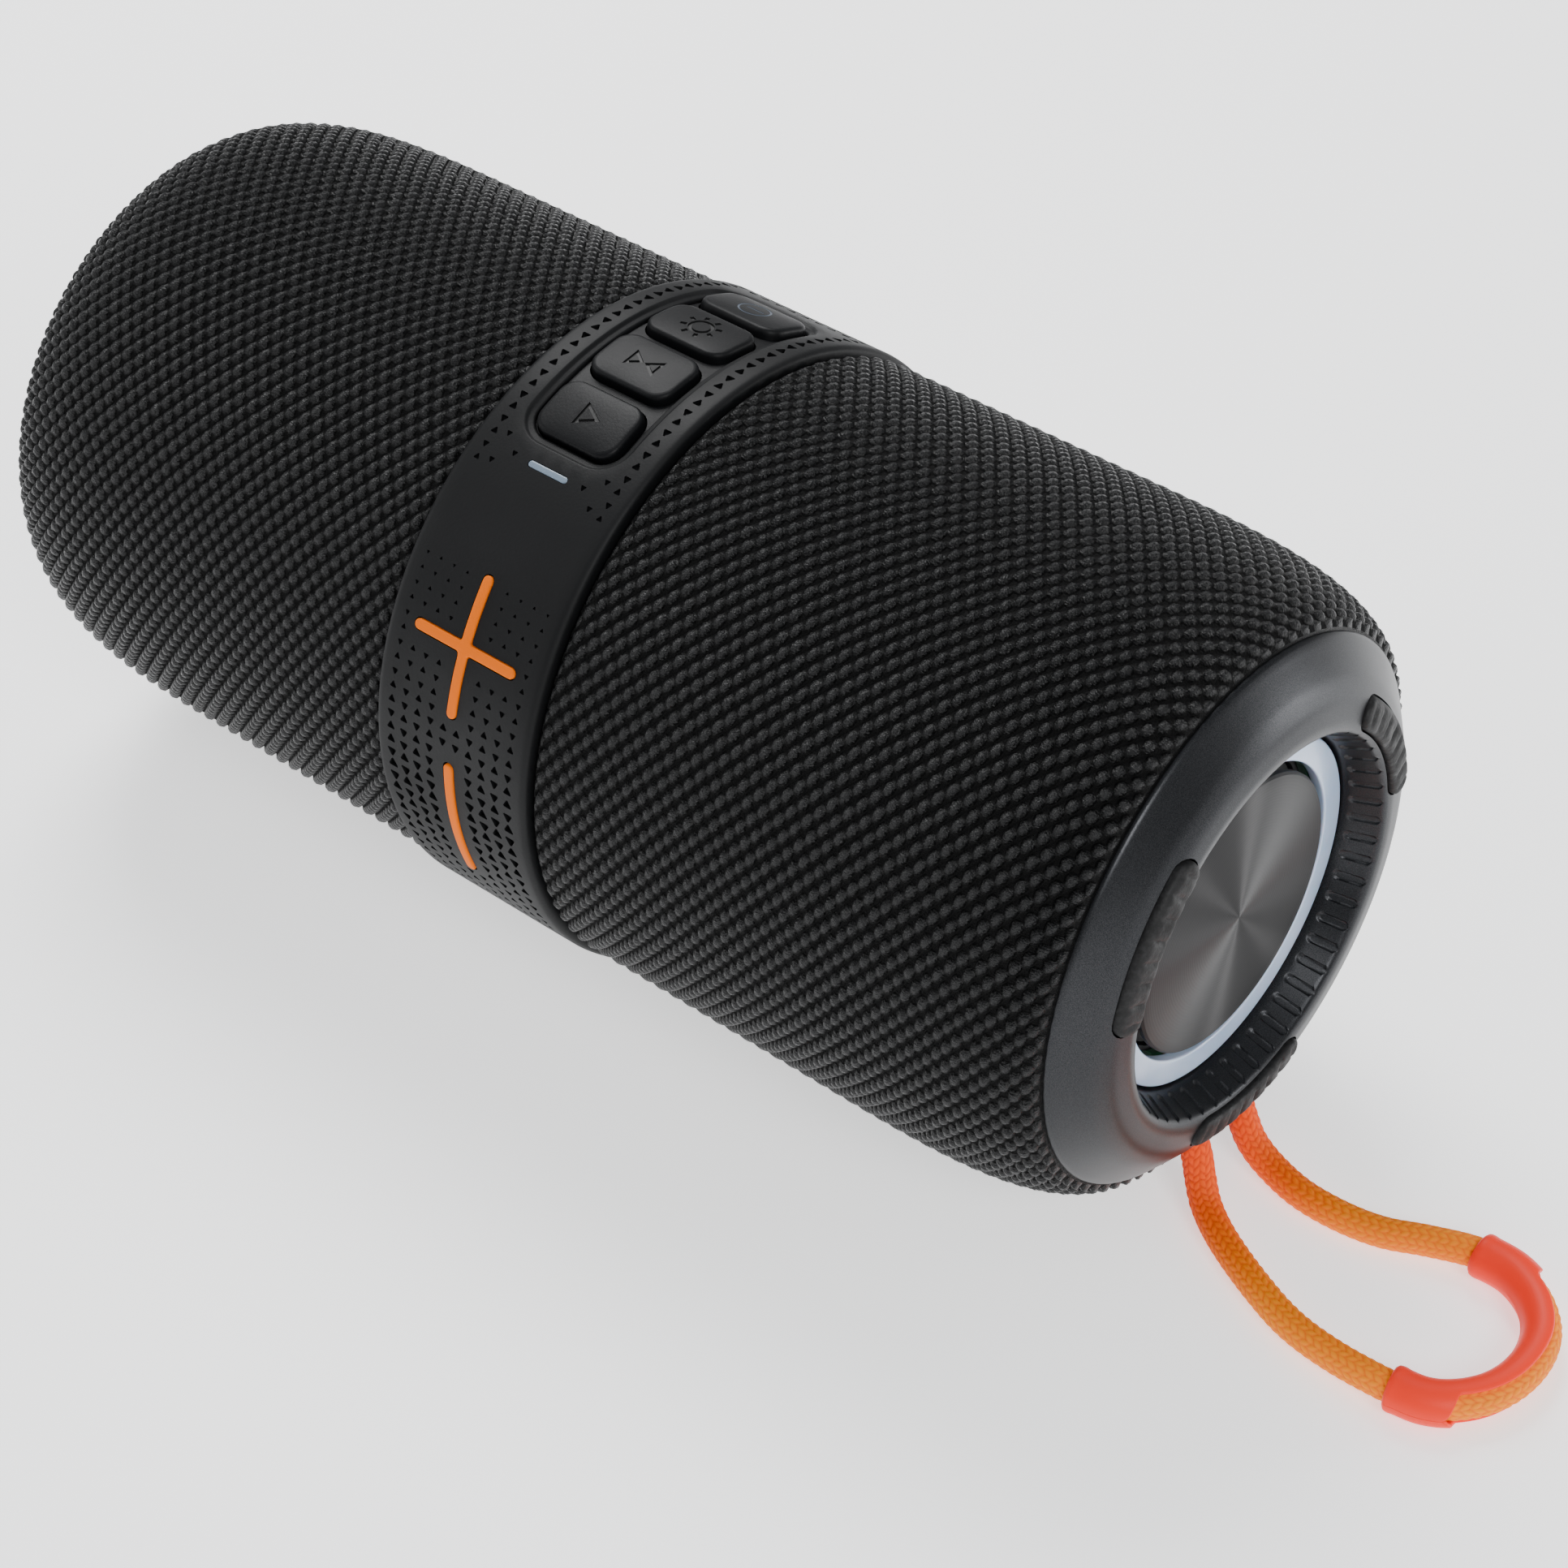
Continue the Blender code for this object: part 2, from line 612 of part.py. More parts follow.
def ends():
    for word, side in (("right", 1), ("left", -1)):
        end_cap("end_cap_" + word, side)
        for number, phi in enumerate(FOOT_PHIS, start=1):
            end_foot("end_foot_%s_%d" % (word, number), phi, side)
        radiator(word, side)
        lights(word, side)


# ---------------------------------------------------------------- inside

def driver(word, x):
    """Full-range driver facing the front: basket, magnet and cone."""
    basket = [(-36.9, 20.5), (-35.3, 20.5), (-35.3, 18.6), (-24.0, 13.4), (-22.0, 13.4), (-22.0, 7.3),
              (-23.4, 7.3), (-23.4, 11.8), (-35.4, 17.2), (-36.9, 17.2)]
    finish(turned("driver_basket_" + word, basket, FINE, "Y", (x, 0.0)), (STEEL, 0.4, 1.0))
    magnet = [(-21.7, 14.0), (-12.7, 14.0), (-12.7, 0.0), (-26.0, 0.0), (-26.0, 5.5), (-21.7, 5.5)]
    finish(turned("driver_magnet_" + word, magnet, FINE, "Y", (x, 0.0)), ((0.1, 0.1, 0.11), 0.5, 1.0))
    cone = [(-36.5, 16.6), (-37.0, 15.3), (-36.2, 14.0), (-31.4, 7.6), (-32.4, 0.0),
            (-31.6, 0.0), (-30.6, 6.2), (-24.8, 6.2), (-24.8, 6.8), (-30.0, 6.8), (-35.3, 14.0),
            (-36.1, 15.3), (-35.8, 16.6)]
    finish(turned("driver_cone_" + word, cone, FINE, "Y", (x, 0.0)), ((0.04, 0.04, 0.045), 0.6, 0.0))


def battery():
    half = CELL_LENGTH / 2.0
    cradle = plain_box("battery_cradle", (-36.0, 15.4, -21.0), (36.0, 26.6, 21.0))
    for word, z in (("upper", CELL_Z), ("lower", -CELL_Z)):
        start = (-half, CELL_Y, z)
        end = (half, CELL_Y, z)
        finish(rod("battery_cell_" + word, start, end, CELL_RADIUS), ((0.05, 0.2, 0.5), 0.4, 0.0))
        cut(cradle, rod("cell_seat", (-50.0, CELL_Y, z), (50.0, CELL_Y, z), CELL_RADIUS + GAP))
    finish(cradle, (PLASTIC_BLACK, 0.6, 0.0))


def main_board():
    board = plain_box("main_board", (-48.0, -8.0, 24.6), (48.0, 26.0, 26.2))
    return finish(board, (BOARD_GREEN, 0.5, 0.0))


# ---------------------------------------------------------------- lanyard

# The cord's route on the floor, by hand: x, y, and z above the floor, from one leg to the other.
LANYARD_ROUTE = (
    (90.6, LEG_Y, 13.5), (92.3, LEG_Y, 10.13), (93.6, 4.9, 7.4), (95.5, 4.7, 4.5), (99.0, 4.2, 2.6),
    (104.6, 3.0, 2.2), (110.8, 3.0, 2.15), (116.5, 4.1, 2.2), (122.0, 6.3, 2.6),
    (128.3, 8.1, 3.2), (133.6, 8.0, 3.2), (138.3, 5.8, 3.2), (141.6, 2.2, 3.2), (143.1, -2.0, 3.2),
    (143.2, -6.8, 3.2), (141.9, -11.2, 3.2), (139.2, -14.9, 3.2), (135.9, -17.1, 3.2), (131.6, -17.9, 3.2),
    (123.5, -17.7, 2.5), (116.1, -16.6, 2.2), (108.8, -13.9, 2.15), (101.6, -10.4, 2.25),
    (97.0, -7.6, 3.0), (94.6, -5.9, 5.2), (93.3, -5.2, 8.0), (92.3, -LEG_Y, 10.13), (90.6, -LEG_Y, 13.5),
)


def smooth_route(points, step):
    """Points about one step apart on a Catmull-Rom curve through the route."""
    knots = [Vector(p) for p in points]
    knots = [2.0 * knots[0] - knots[1]] + knots + [2.0 * knots[-1] - knots[-2]]
    dense = []
    for a, b, c, d in zip(knots, knots[1:], knots[2:], knots[3:]):
        for i in range(20):
            t = i / 20.0
            dense.append(0.5 * (2.0 * b + (c - a) * t + (2.0 * a - 5.0 * b + 4.0 * c - d) * t * t
                                + (3.0 * b - a - 3.0 * c + d) * t ** 3))
    dense.append(knots[-2])
    lengths = [0.0]
    for a, b in zip(dense, dense[1:]):
        lengths.append(lengths[-1] + (b - a).length)
    count = round(lengths[-1] / step)
    even = []
    place = 0
    for i in range(count + 1):
        target = lengths[-1] * i / count
        while place < len(dense) - 2 and lengths[place + 1] < target:
            place += 1
        share = (target - lengths[place]) / (lengths[place + 1] - lengths[place])
        even.append(dense[place].lerp(dense[place + 1], share))
    return even


def outward_route(points, distance):
    """The same route moved sideways, away from the inside of the loop."""
    moved = []
    for before, here, after in zip([points[0]] + points[:-1], points, points[1:] + [points[-1]]):
        ahead = (after - before).normalized()
        moved.append(here + Vector((-ahead.y, ahead.x, 0.0)) * distance)
    return moved


def lanyard():
    bar_x = HOLE_START[0] - BAR_DEPTH * HOLE_LEAN[0]
    bar_z = HOLE_START[1] - BAR_DEPTH * HOLE_LEAN[1]
    bar = rod("lanyard_bar", (bar_x, -BAR_HALF, bar_z), (bar_x, BAR_HALF, bar_z), 1.0, 12)
    finish(bar, (STEEL, 0.3, 1.0))
    route = smooth_route(LANYARD_ROUTE, CORD_POINT_STEP)
    finish(tube("lanyard_cord", route, CORD_RADIUS), (ORANGE, 0.8, 0.0))
    bend = smooth_route(LANYARD_ROUTE[9:19], 3.4)
    sleeve = tube("lanyard_sleeve", bend, SLEEVE_RADIUS, 3)
    long_bend = [bend[0] * 2.0 - bend[1]] + bend + [bend[-1] * 2.0 - bend[-2]]
    cut(sleeve, tube("sleeve_bore", long_bend, CORD_RADIUS + GAP, 3))
    cut(sleeve, tube("sleeve_side", outward_route(bend[4:-4], 3.2), 3.5, 3))
    finish(sleeve, (CORAL, 0.45, 0.0))


core_front()
core_rear()
core_screws()
fabric("fabric_right", 1)
fabric("fabric_left", -1)
control_belt()
base_feet()
keypad_frame()
buttons()
switches()
button_board()
volume_keys()
status_window()
charging_port()
ends()
driver("right", DRIVER_X)
driver("left", -DRIVER_X)
battery()
main_board()
lanyard()
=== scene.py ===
"""Looks of the portable bluetooth speaker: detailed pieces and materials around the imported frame.

The barrel's axis runs along X, 46 mm above the floor. phi is the angle round the barrel from straight
up, positive towards the front (-Y). Lengths in this script are millimetres until they become vertices.
"""

import json
from math import atan2, ceil, cos, exp, floor, hypot, pi, radians, sin, sqrt

import bmesh
import bpy
from mathutils import Matrix, Vector
from mathutils.geometry import delaunay_2d_cdt
from mathutils.kdtree import KDTree

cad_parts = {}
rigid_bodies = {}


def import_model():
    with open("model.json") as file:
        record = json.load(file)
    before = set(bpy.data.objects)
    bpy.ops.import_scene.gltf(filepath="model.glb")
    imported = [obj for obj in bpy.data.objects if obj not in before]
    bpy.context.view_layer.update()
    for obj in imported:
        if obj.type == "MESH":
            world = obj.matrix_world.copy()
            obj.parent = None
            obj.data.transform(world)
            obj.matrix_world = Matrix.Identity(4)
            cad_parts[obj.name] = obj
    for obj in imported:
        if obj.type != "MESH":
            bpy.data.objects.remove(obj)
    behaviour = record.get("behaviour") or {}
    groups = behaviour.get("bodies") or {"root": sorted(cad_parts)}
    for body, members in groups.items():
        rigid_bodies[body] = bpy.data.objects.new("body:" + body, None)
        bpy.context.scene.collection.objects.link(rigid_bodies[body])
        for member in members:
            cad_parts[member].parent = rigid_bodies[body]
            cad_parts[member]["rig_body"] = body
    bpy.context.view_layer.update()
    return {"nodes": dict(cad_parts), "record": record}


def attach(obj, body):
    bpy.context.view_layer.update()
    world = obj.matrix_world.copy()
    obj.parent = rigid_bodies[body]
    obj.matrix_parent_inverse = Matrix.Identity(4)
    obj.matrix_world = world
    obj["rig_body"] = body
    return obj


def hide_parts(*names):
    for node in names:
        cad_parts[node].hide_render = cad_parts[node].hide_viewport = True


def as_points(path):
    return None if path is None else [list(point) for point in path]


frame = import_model()
cad = frame["nodes"]

MM = 0.001
WELD = 2e-6                     # vertices closer than this become one, in metres
SHARP = 38.0                    # edges bent by more degrees than this stay sharp
AXIS_HEIGHT = 46.0

BELT_RADIUS = 45.0
BELT_INSIDE = 42.8
BELT_CROWN = 12.1
BELT_STEPS = 240

KNIT_PITCH = 2.5                # along the barrel, between loops of one row
KNIT_ROWS = 168                 # rows of loops round the barrel
KNIT_RADIUS = 43.5              # bottom of the knit
KNIT_HEIGHT = 0.85
LOOP_REACH = 0.37               # half the width of a loop's bump, in loops
LOOP_RISE = 0.37                # half its height, in pairs of rows
LOOP_LEAN = 0.18
LOOP_BEND = 0.5
LOOP_FACES = 6                  # faces along a loop and round a pair of rows
COVER_WALL = 0.8

CORD_RADIUS = 2.1
SLEEVE_RADIUS = 3.1


# ---------------- camera

def make_camera():
    lens = bpy.data.cameras.new("camera")
    lens.lens = 81.125
    lens.sensor_width = 36.0
    lens.clip_start = 0.01
    camera = bpy.data.objects.new("camera", lens)
    bpy.context.scene.collection.objects.link(camera)
    right = Vector((0.76386, 0.64538, 0.0))
    up = Vector((-0.41730, 0.49391, 0.76284))
    back = Vector((0.49232, -0.58270, 0.64659))
    turn = Matrix((right, up, back)).transposed().to_4x4()
    camera.matrix_world = Matrix.Translation((0.25801, -0.28328, 0.34161)) @ turn
    bpy.context.scene.camera = camera


make_camera()


# ---------------- mesh helpers

class Shape:
    """Vertices and faces of one piece, with a number per face for its material."""

    def __init__(self):
        self.points = []
        self.faces = []
        self.looks = []

    def add(self, points):
        first = len(self.points)
        self.points.extend(points)
        return range(first, len(self.points))

    def face(self, corners, look=0):
        self.faces.append(tuple(corners))
        self.looks.append(look)

    def strip(self, a, b, closed=True):
        """Quads between two rows of points of the same length."""
        count = len(a)
        for i in range(count if closed else count - 1):
            j = (i + 1) % count
            self.face((a[i], a[j], b[j], b[i]))

    def rows(self, rows):
        """Closed rows of points with quads between them."""
        made = [self.add(row) for row in rows]
        for a, b in zip(made, made[1:]):
            self.strip(a, b)
        return made

    def mesh(self, name, weld=WELD, sharp=SHARP):
        """A mesh with its faces turned outwards; weld 0 keeps every vertex in its order."""
        mesh = bpy.data.meshes.new(name)
        mesh.from_pydata(self.points, [], self.faces)
        mesh.polygons.foreach_set("material_index", self.looks)
        work = bmesh.new()
        work.from_mesh(mesh)
        if weld:
            bmesh.ops.remove_doubles(work, verts=work.verts, dist=weld)
        bmesh.ops.recalc_face_normals(work, faces=work.faces)
        work.to_mesh(mesh)
        work.free()
        smooth(mesh, sharp)
        return mesh


def smooth(mesh, sharp=SHARP):
    mesh.shade_smooth()
    mesh.set_sharp_from_angle(angle=radians(sharp))


def add_object(name, mesh, materials=()):
    obj = bpy.data.objects.new(name, mesh)
    bpy.context.scene.collection.objects.link(obj)
    for material in materials:
        mesh.materials.append(material)
    return obj


def stand_for(obj, *nodes):
    """The piece takes the place and the body of these CAD nodes, which are hidden."""
    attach(obj, cad[nodes[0]]["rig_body"])
    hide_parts(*nodes)
    return obj


def add_piece(name, shape, node, more_looks=(), **mesh_settings):
    """Adds a shape in the look of a CAD node and lets it stand for that node."""
    materials = [look_of(node), *more_looks]
    return stand_for(add_object(name, shape.mesh(name, **mesh_settings), materials), node)


def on_barrel(x, phi, r):
    return (x * MM, -r * sin(phi) * MM, (AXIS_HEIGHT + r * cos(phi)) * MM)


def wrapped(phi):
    """Maps (along, round, radius) to the barrel with its middle at phi; round is an arc at the belt."""
    middle = radians(phi)
    return lambda u, v, r: on_barrel(u, middle + v / BELT_RADIUS, r)


def rounded_corners(points, radius, count=4, closed=True):
    """An outline with each corner turned into a small curve."""
    made = []
    total = len(points)
    for i, corner in enumerate(points):
        here = Vector(corner)
        if not closed and i in (0, total - 1):
            made.append(tuple(here))
            continue
        before = Vector(points[i - 1]) - here
        after = Vector(points[(i + 1) % total]) - here
        reach = min(radius, 0.45 * before.length, 0.45 * after.length)
        a = here + before.normalized() * reach
        b = here + after.normalized() * reach
        for k in range(count + 1):
            t = k / count
            made.append(tuple(a * (1 - t) ** 2 + here * (2 * t * (1 - t)) + b * t * t))
    return made


def divided(points, step, closed=True):
    """The same outline with more points, none further apart than step."""
    made = []
    total = len(points)
    for i in range(total if closed else total - 1):
        a = Vector(points[i])
        b = Vector(points[(i + 1) % total])
        pieces = max(1, ceil((b - a).length / step))
        made.extend(tuple(a.lerp(b, k / pieces)) for k in range(pieces))
    if not closed:
        made.append(tuple(points[-1]))
    return made


def turned(profile, side, steps, closed=True, shift=None):
    """Rows of a turned surface from (along, radius) points; shift(x, r, angle) moves a point."""
    shape = Shape()
    rows = []
    for x, r in profile:
        row = []
        for i in range(steps):
            angle = 2.0 * pi * i / steps
            px, pr = shift(x, r, angle) if shift else (x, r)
            row.append(on_barrel(side * px, angle, pr))
        rows.append(row)
    if closed:
        rows.append(rows[0])
    shape.rows(rows)
    return shape


def box_outline(length, width, corner, inset=0.0, step=0.9, arc=7):
    """A rounded rectangle round the origin; every inset gives the same number of points."""
    across = max(1, ceil((length - 2.0 * corner) / step))
    round_ = max(1, ceil((width - 2.0 * corner) / step))
    radius = max(corner - inset, 0.02)
    a = length / 2.0 - inset - radius
    b = width / 2.0 - inset - radius
    points = []
    corners = ((a, b, 0.0), (-a, b, 90.0), (-a, -b, 180.0), (a, -b, 270.0))
    sides = (across, round_, across, round_)
    for i, (cu, cv, start) in enumerate(corners):
        for k in range(arc + 1):
            turn = radians(start + 90.0 * k / arc)
            points.append((cu + radius * cos(turn), cv + radius * sin(turn)))
        next_u, next_v, next_start = corners[(i + 1) % 4]
        turn = radians(next_start)
        end = Vector((next_u + radius * cos(turn), next_v + radius * sin(turn)))
        last = Vector(points[-1])
        points.extend(tuple(last.lerp(end, k / sides[i])) for k in range(1, sides[i]))
    return points


def cross_outline(half_along, half_round, half_stroke, fillet, inset=0.0, step=0.9):
    """A plus sign with round ends and small fillets in its inner corners."""
    w = half_stroke - inset
    r = fillet + inset
    points = []
    for quarter in range(4):
        turn = pi / 2.0 * quarter
        reach = (half_along if quarter % 2 == 0 else half_round) - half_stroke
        stretch = max(1, ceil((reach - half_stroke) / step))
        for k in range(stretch):
            points.append(turned_2d((w + r + (reach - w - r) * k / stretch, -w), turn))
        for k in range(9):
            tip = pi * k / 8.0 - pi / 2.0
            points.append(turned_2d((reach + w * cos(tip), w * sin(tip)), turn))
        for k in range(1, stretch):
            points.append(turned_2d((reach + (w + r - reach) * k / stretch, w), turn))
        for k in range(5):
            bend = -pi / 2.0 - pi / 2.0 * k / 4.0
            points.append(turned_2d((w + r + r * cos(bend), w + r + r * sin(bend)), turn))
    return points


def turned_2d(point, angle):
    u, v = point
    return (u * cos(angle) - v * sin(angle), u * sin(angle) + v * cos(angle))


def leftward(points):
    """The outline in anticlockwise order."""
    area = sum(a[0] * b[1] - b[0] * a[1] for a, b in zip(points, points[1:] + points[:1]))
    return points if area > 0.0 else points[::-1]


def inner_points(flat, outline, spacing):
    """Staggered points over an outline's box, clear of the points that are there already."""
    tree = KDTree(len(flat))
    for i, p in enumerate(flat):
        tree.insert((p.x, p.y, 0.0), i)
    tree.balance()
    low_u, high_u = min(p[0] for p in outline), max(p[0] for p in outline)
    low_v, high_v = min(p[1] for p in outline), max(p[1] for p in outline)
    columns = max(1, ceil((high_u - low_u) / spacing))
    rows = max(1, ceil((high_v - low_v) / spacing))
    made = []
    for i in range(1, columns):
        for j in range(rows):
            p = Vector((low_u + (high_u - low_u) * i / columns,
                        low_v + (high_v - low_v) * (j + 0.5 * (i % 2)) / rows))
            if tree.find((p.x, p.y, 0.0))[2] > 0.55 * spacing:
                made.append(p)
    return made


def fill(shape, place, outline, spacing, level, recesses=()):
    """Fills an outline with triangles at a level, with recesses let into it.

    place(u, v, level) gives a point. A recess is (loops, depth, look); depth None leaves a hole.
    A point is inside a recess when it is inside an odd number of its loops.
    """
    loops = [leftward(outline)]
    owners = []
    for number, (inner_loops, _, _) in enumerate(recesses):
        for loop in inner_loops:
            owners.append(number)
            loops.append(leftward(loop))
    flat = []
    outlines = []
    for loop in loops:
        outlines.append(list(range(len(flat), len(flat) + len(loop))))
        flat.extend(Vector(p) for p in loop)
    inner = inner_points(flat, outline, spacing)
    points, _, triangles, _, _, inside = delaunay_2d_cdt(flat + inner, [], outlines, 1, 1e-5, True)
    levels = []
    for owners_here in inside:
        ids = set(owners_here)
        if 0 not in ids:
            levels.append("out")
            continue
        hits = [owners[i - 1] for i in ids if i]
        odd = [number for number in hits if hits.count(number) % 2]
        levels.append((odd[-1], recesses[odd[-1]][1]) if odd else None)
    placed = {}

    def corner(index, drop):
        key = (index, drop)
        if key not in placed:
            placed[key] = shape.add([place(points[index].x, points[index].y, level - drop)])[0]
        return placed[key]

    edges = {}
    for triangle, state in zip(triangles, levels):
        if state == "out":
            continue
        number, depth = state if state else (None, 0.0)
        if depth is None:
            continue
        shade = 0 if number is None else recesses[number][2]
        shape.face([corner(i, depth) for i in triangle], shade)
        for a, b in zip(triangle, triangle[1:] + triangle[:1]):
            edges.setdefault((min(a, b), max(a, b)), []).append((depth, shade))
    for (a, b), both in edges.items():
        if len(both) == 2 and both[0][0] != both[1][0]:
            (deep, shade), (shallow, _) = max(both), min(both)
            wall = (corner(a, shallow), corner(b, shallow), corner(b, deep), corner(a, deep))
            shape.face(wall, shade)


def level_top(u, v):
    return 0.0


def padded_block(place, outline, rings, spacing, recesses=(), dome=level_top):
    """A block with a rounded rim: outline(inset) gives each ring, rings are (inset, level).

    dome(u, v) says how far a point of the top rises above the last ring.
    """
    shape = Shape()
    made = shape.rows([[place(u, v, level) for u, v in outline(inset)] for inset, level in rings])
    shape.face(made[0])
    last_inset, last_level = rings[-1]
    fill(shape, lambda u, v, level: place(u, v, level + dome(u, v)), outline(last_inset), spacing,
         last_level, recesses)
    return shape


def cut_with(obj, *cutters):
    """Cuts shapes out of a mesh and keeps the result as its mesh."""
    for cutter in cutters:
        step = obj.modifiers.new("cut", "BOOLEAN")
        step.operation = "DIFFERENCE"
        step.solver = "EXACT"
        step.object = cutter
    bpy.context.view_layer.update()
    made = bpy.data.meshes.new_from_object(obj.evaluated_get(bpy.context.evaluated_depsgraph_get()))
    obj.modifiers.clear()
    obj.data = made
    smooth(made)
    for cutter in cutters:
        bpy.data.objects.remove(cutter, do_unlink=True)


# ---------------- material helpers

class Look:
    """A Principled material with helpers that add nodes to it."""

    def __init__(self, name, colour, roughness, metallic=0.0, **constants):
        self.material = bpy.data.materials.new(name)
        self.material.use_nodes = True
        self.tree = self.material.node_tree
        self.shader = self.tree.nodes["Principled BSDF"]
        self.set("Base Color", (*colour, 1.0))
        self.set("Roughness", roughness)
        self.set("Metallic", metallic)
        for key, value in constants.items():
            self.set(key.replace("_", " "), value)

    def set(self, socket, value):
        if isinstance(value, bpy.types.NodeSocket):
            self.tree.links.new(value, self.shader.inputs[socket])
        else:
            self.shader.inputs[socket].default_value = value

    def node(self, kind, inputs=(), out=0, **settings):
        made = self.tree.nodes.new("ShaderNode" + kind)
        for key, value in settings.items():
            setattr(made, key, value)
        for key, value in dict(inputs).items():
            if isinstance(value, bpy.types.NodeSocket):
                self.tree.links.new(value, made.inputs[key])
            else:
                made.inputs[key].default_value = value
        return made.outputs[out]

    def math(self, operation, a, b=0.0, c=0.0):
        return self.node("Math", {0: a, 1: b, 2: c}, operation=operation)

    def place(self):
        return self.node("TexCoord", out="Object")

    def axes(self, where):
        """The three numbers of a vector, one socket each."""
        parts = self.tree.nodes.new("ShaderNodeSeparateXYZ")
        self.tree.links.new(where, parts.inputs[0])
        return parts.outputs

    def noise(self, scale, detail=3.0, where=None):
        return self.node("TexNoise", {"Vector": where or self.place(), "Scale": scale, "Detail": detail})

    def ramp(self, value, low, high, start=0.0, end=1.0):
        """A colour between two colours as value goes from start to end."""
        share = self.node("MapRange", {0: value, 1: start, 2: end, 3: 0.0, 4: 1.0})
        made = self.tree.nodes.new("ShaderNodeMix")
        made.data_type = "RGBA"
        self.tree.links.new(share, made.inputs[0])
        for socket, colour in ((6, low), (7, high)):
            if isinstance(colour, bpy.types.NodeSocket):
                self.tree.links.new(colour, made.inputs[socket])
            else:
                made.inputs[socket].default_value = (*colour, 1.0)
        return made.outputs[2]

    def spread(self, value, low, high, start=0.0, end=1.0):
        return self.node("MapRange", {0: value, 1: start, 2: end, 3: low, 4: high})

    def bump(self, height, distance, strength=1.0, normal=None):
        inputs = {"Height": height, "Distance": distance, "Strength": strength}
        if normal:
            inputs["Normal"] = normal
        return self.node("Bump", inputs)


def rubber(name, colour, roughness, grain=0.00004, scale=2600.0, wear=1.35, **constants):
    """Matte moulded rubber: a fine grain, and soft patches of a lighter, smoother surface."""
    look = Look(name, colour, roughness, **constants)
    fine = look.noise(scale, 4.0)
    patch = look.noise(55.0, 5.0)
    lighter = tuple(min(1.0, c * wear) for c in colour)
    look.set("Base Color", look.ramp(patch, colour, lighter, 0.35, 0.75))
    look.set("Roughness", look.spread(patch, roughness + 0.06, roughness - 0.08, 0.3, 0.8))
    look.set("Normal", look.bump(fine, grain, 0.6))
    return look.material


# ---------------- lanyard route

ROUTE = (
    (90.6, 5.0, 13.5), (92.3, 5.0, 10.13), (93.6, 4.9, 7.4), (95.5, 4.7, 4.5), (99.0, 4.2, 2.6),
    (104.6, 3.0, 2.2), (110.8, 3.0, 2.15), (116.5, 4.1, 2.2), (122.0, 6.3, 2.6),
    (128.3, 8.1, 3.2), (133.6, 8.0, 3.2), (138.3, 5.8, 3.2), (141.6, 2.2, 3.2), (143.1, -2.0, 3.2),
    (143.2, -6.8, 3.2), (141.9, -11.2, 3.2), (139.2, -14.9, 3.2), (135.9, -17.1, 3.2), (131.6, -17.9, 3.2),
    (123.5, -17.7, 2.5), (116.1, -16.6, 2.2), (108.8, -13.9, 2.15), (101.6, -10.4, 2.25),
    (97.0, -7.6, 3.0), (94.6, -5.9, 5.2), (93.3, -5.2, 8.0), (92.3, -5.0, 10.13), (90.6, -5.0, 13.5),
)
SLEEVE_SPAN = slice(9, 19)


def smooth_route(points, step):
    """Points one step apart on a Catmull-Rom curve through the route."""
    knots = [Vector(p) for p in points]
    knots = [2.0 * knots[0] - knots[1]] + knots + [2.0 * knots[-1] - knots[-2]]
    dense = []
    for a, b, c, d in zip(knots, knots[1:], knots[2:], knots[3:]):
        for i in range(20):
            t = i / 20.0
            dense.append(0.5 * (2.0 * b + (c - a) * t + (2.0 * a - 5.0 * b + 4.0 * c - d) * t * t
                                + (3.0 * b - a - 3.0 * c + d) * t ** 3))
    dense.append(knots[-2])
    lengths = [0.0]
    for a, b in zip(dense, dense[1:]):
        lengths.append(lengths[-1] + (b - a).length)
    count = round(lengths[-1] / step)
    even = []
    place = 0
    for i in range(count + 1):
        target = lengths[-1] * i / count
        while place < len(dense) - 2 and lengths[place + 1] < target:
            place += 1
        share = (target - lengths[place]) / (lengths[place + 1] - lengths[place])
        even.append(dense[place].lerp(dense[place + 1], share))
    return even


def framed(points):
    """Each point with its level outward direction and the direction square to that and the route."""
    made = []
    for before, here, after in zip([points[0]] + points[:-1], points, points[1:] + [points[-1]]):
        ahead = (after - before).normalized()
        out = Vector((-ahead.y, ahead.x, 0.0)).normalized()
        made.append((here, out, ahead.cross(out)))
    return made


def braided_cord(name, materials):
    """A round braid: columns of slanted strands, each column slanting against its neighbours."""
    columns = 16
    around = 96
    pitch = 1.3
    step = 0.18
    route = smooth_route(ROUTE, step)
    shape = Shape()
    rows = []
    lofts = []
    for i, (here, out, up) in enumerate(framed(route)):
        row = []
        for k in range(around):
            angle = 2.0 * pi * k / around
            column = angle * columns / (2.0 * pi)
            across = column - floor(column)
            slant = 0.5 if int(column) % 2 else -0.5
            phase = i * step / pitch + slant * across + 0.25 * (int(column) % 2)
            loft = sqrt(abs(sin(pi * phase))) * (0.55 + 0.45 * sin(pi * across))
            r = CORD_RADIUS - 0.17 + 0.2 * loft
            row.append((here + (out * cos(angle) + up * sin(angle)) * r) * MM)
            lofts.append(loft)
        rows.append(row)
    made = shape.rows(rows)
    shape.face(made[0])
    shape.face(made[-1])
    mesh = shape.mesh(name, weld=0.0, sharp=70.0)
    mesh.attributes.new("loft", "FLOAT", "POINT").data.foreach_set("value", lofts)
    return add_object(name, mesh, materials), [tuple(p * MM) for p in smooth_route(ROUTE, 1.0)]


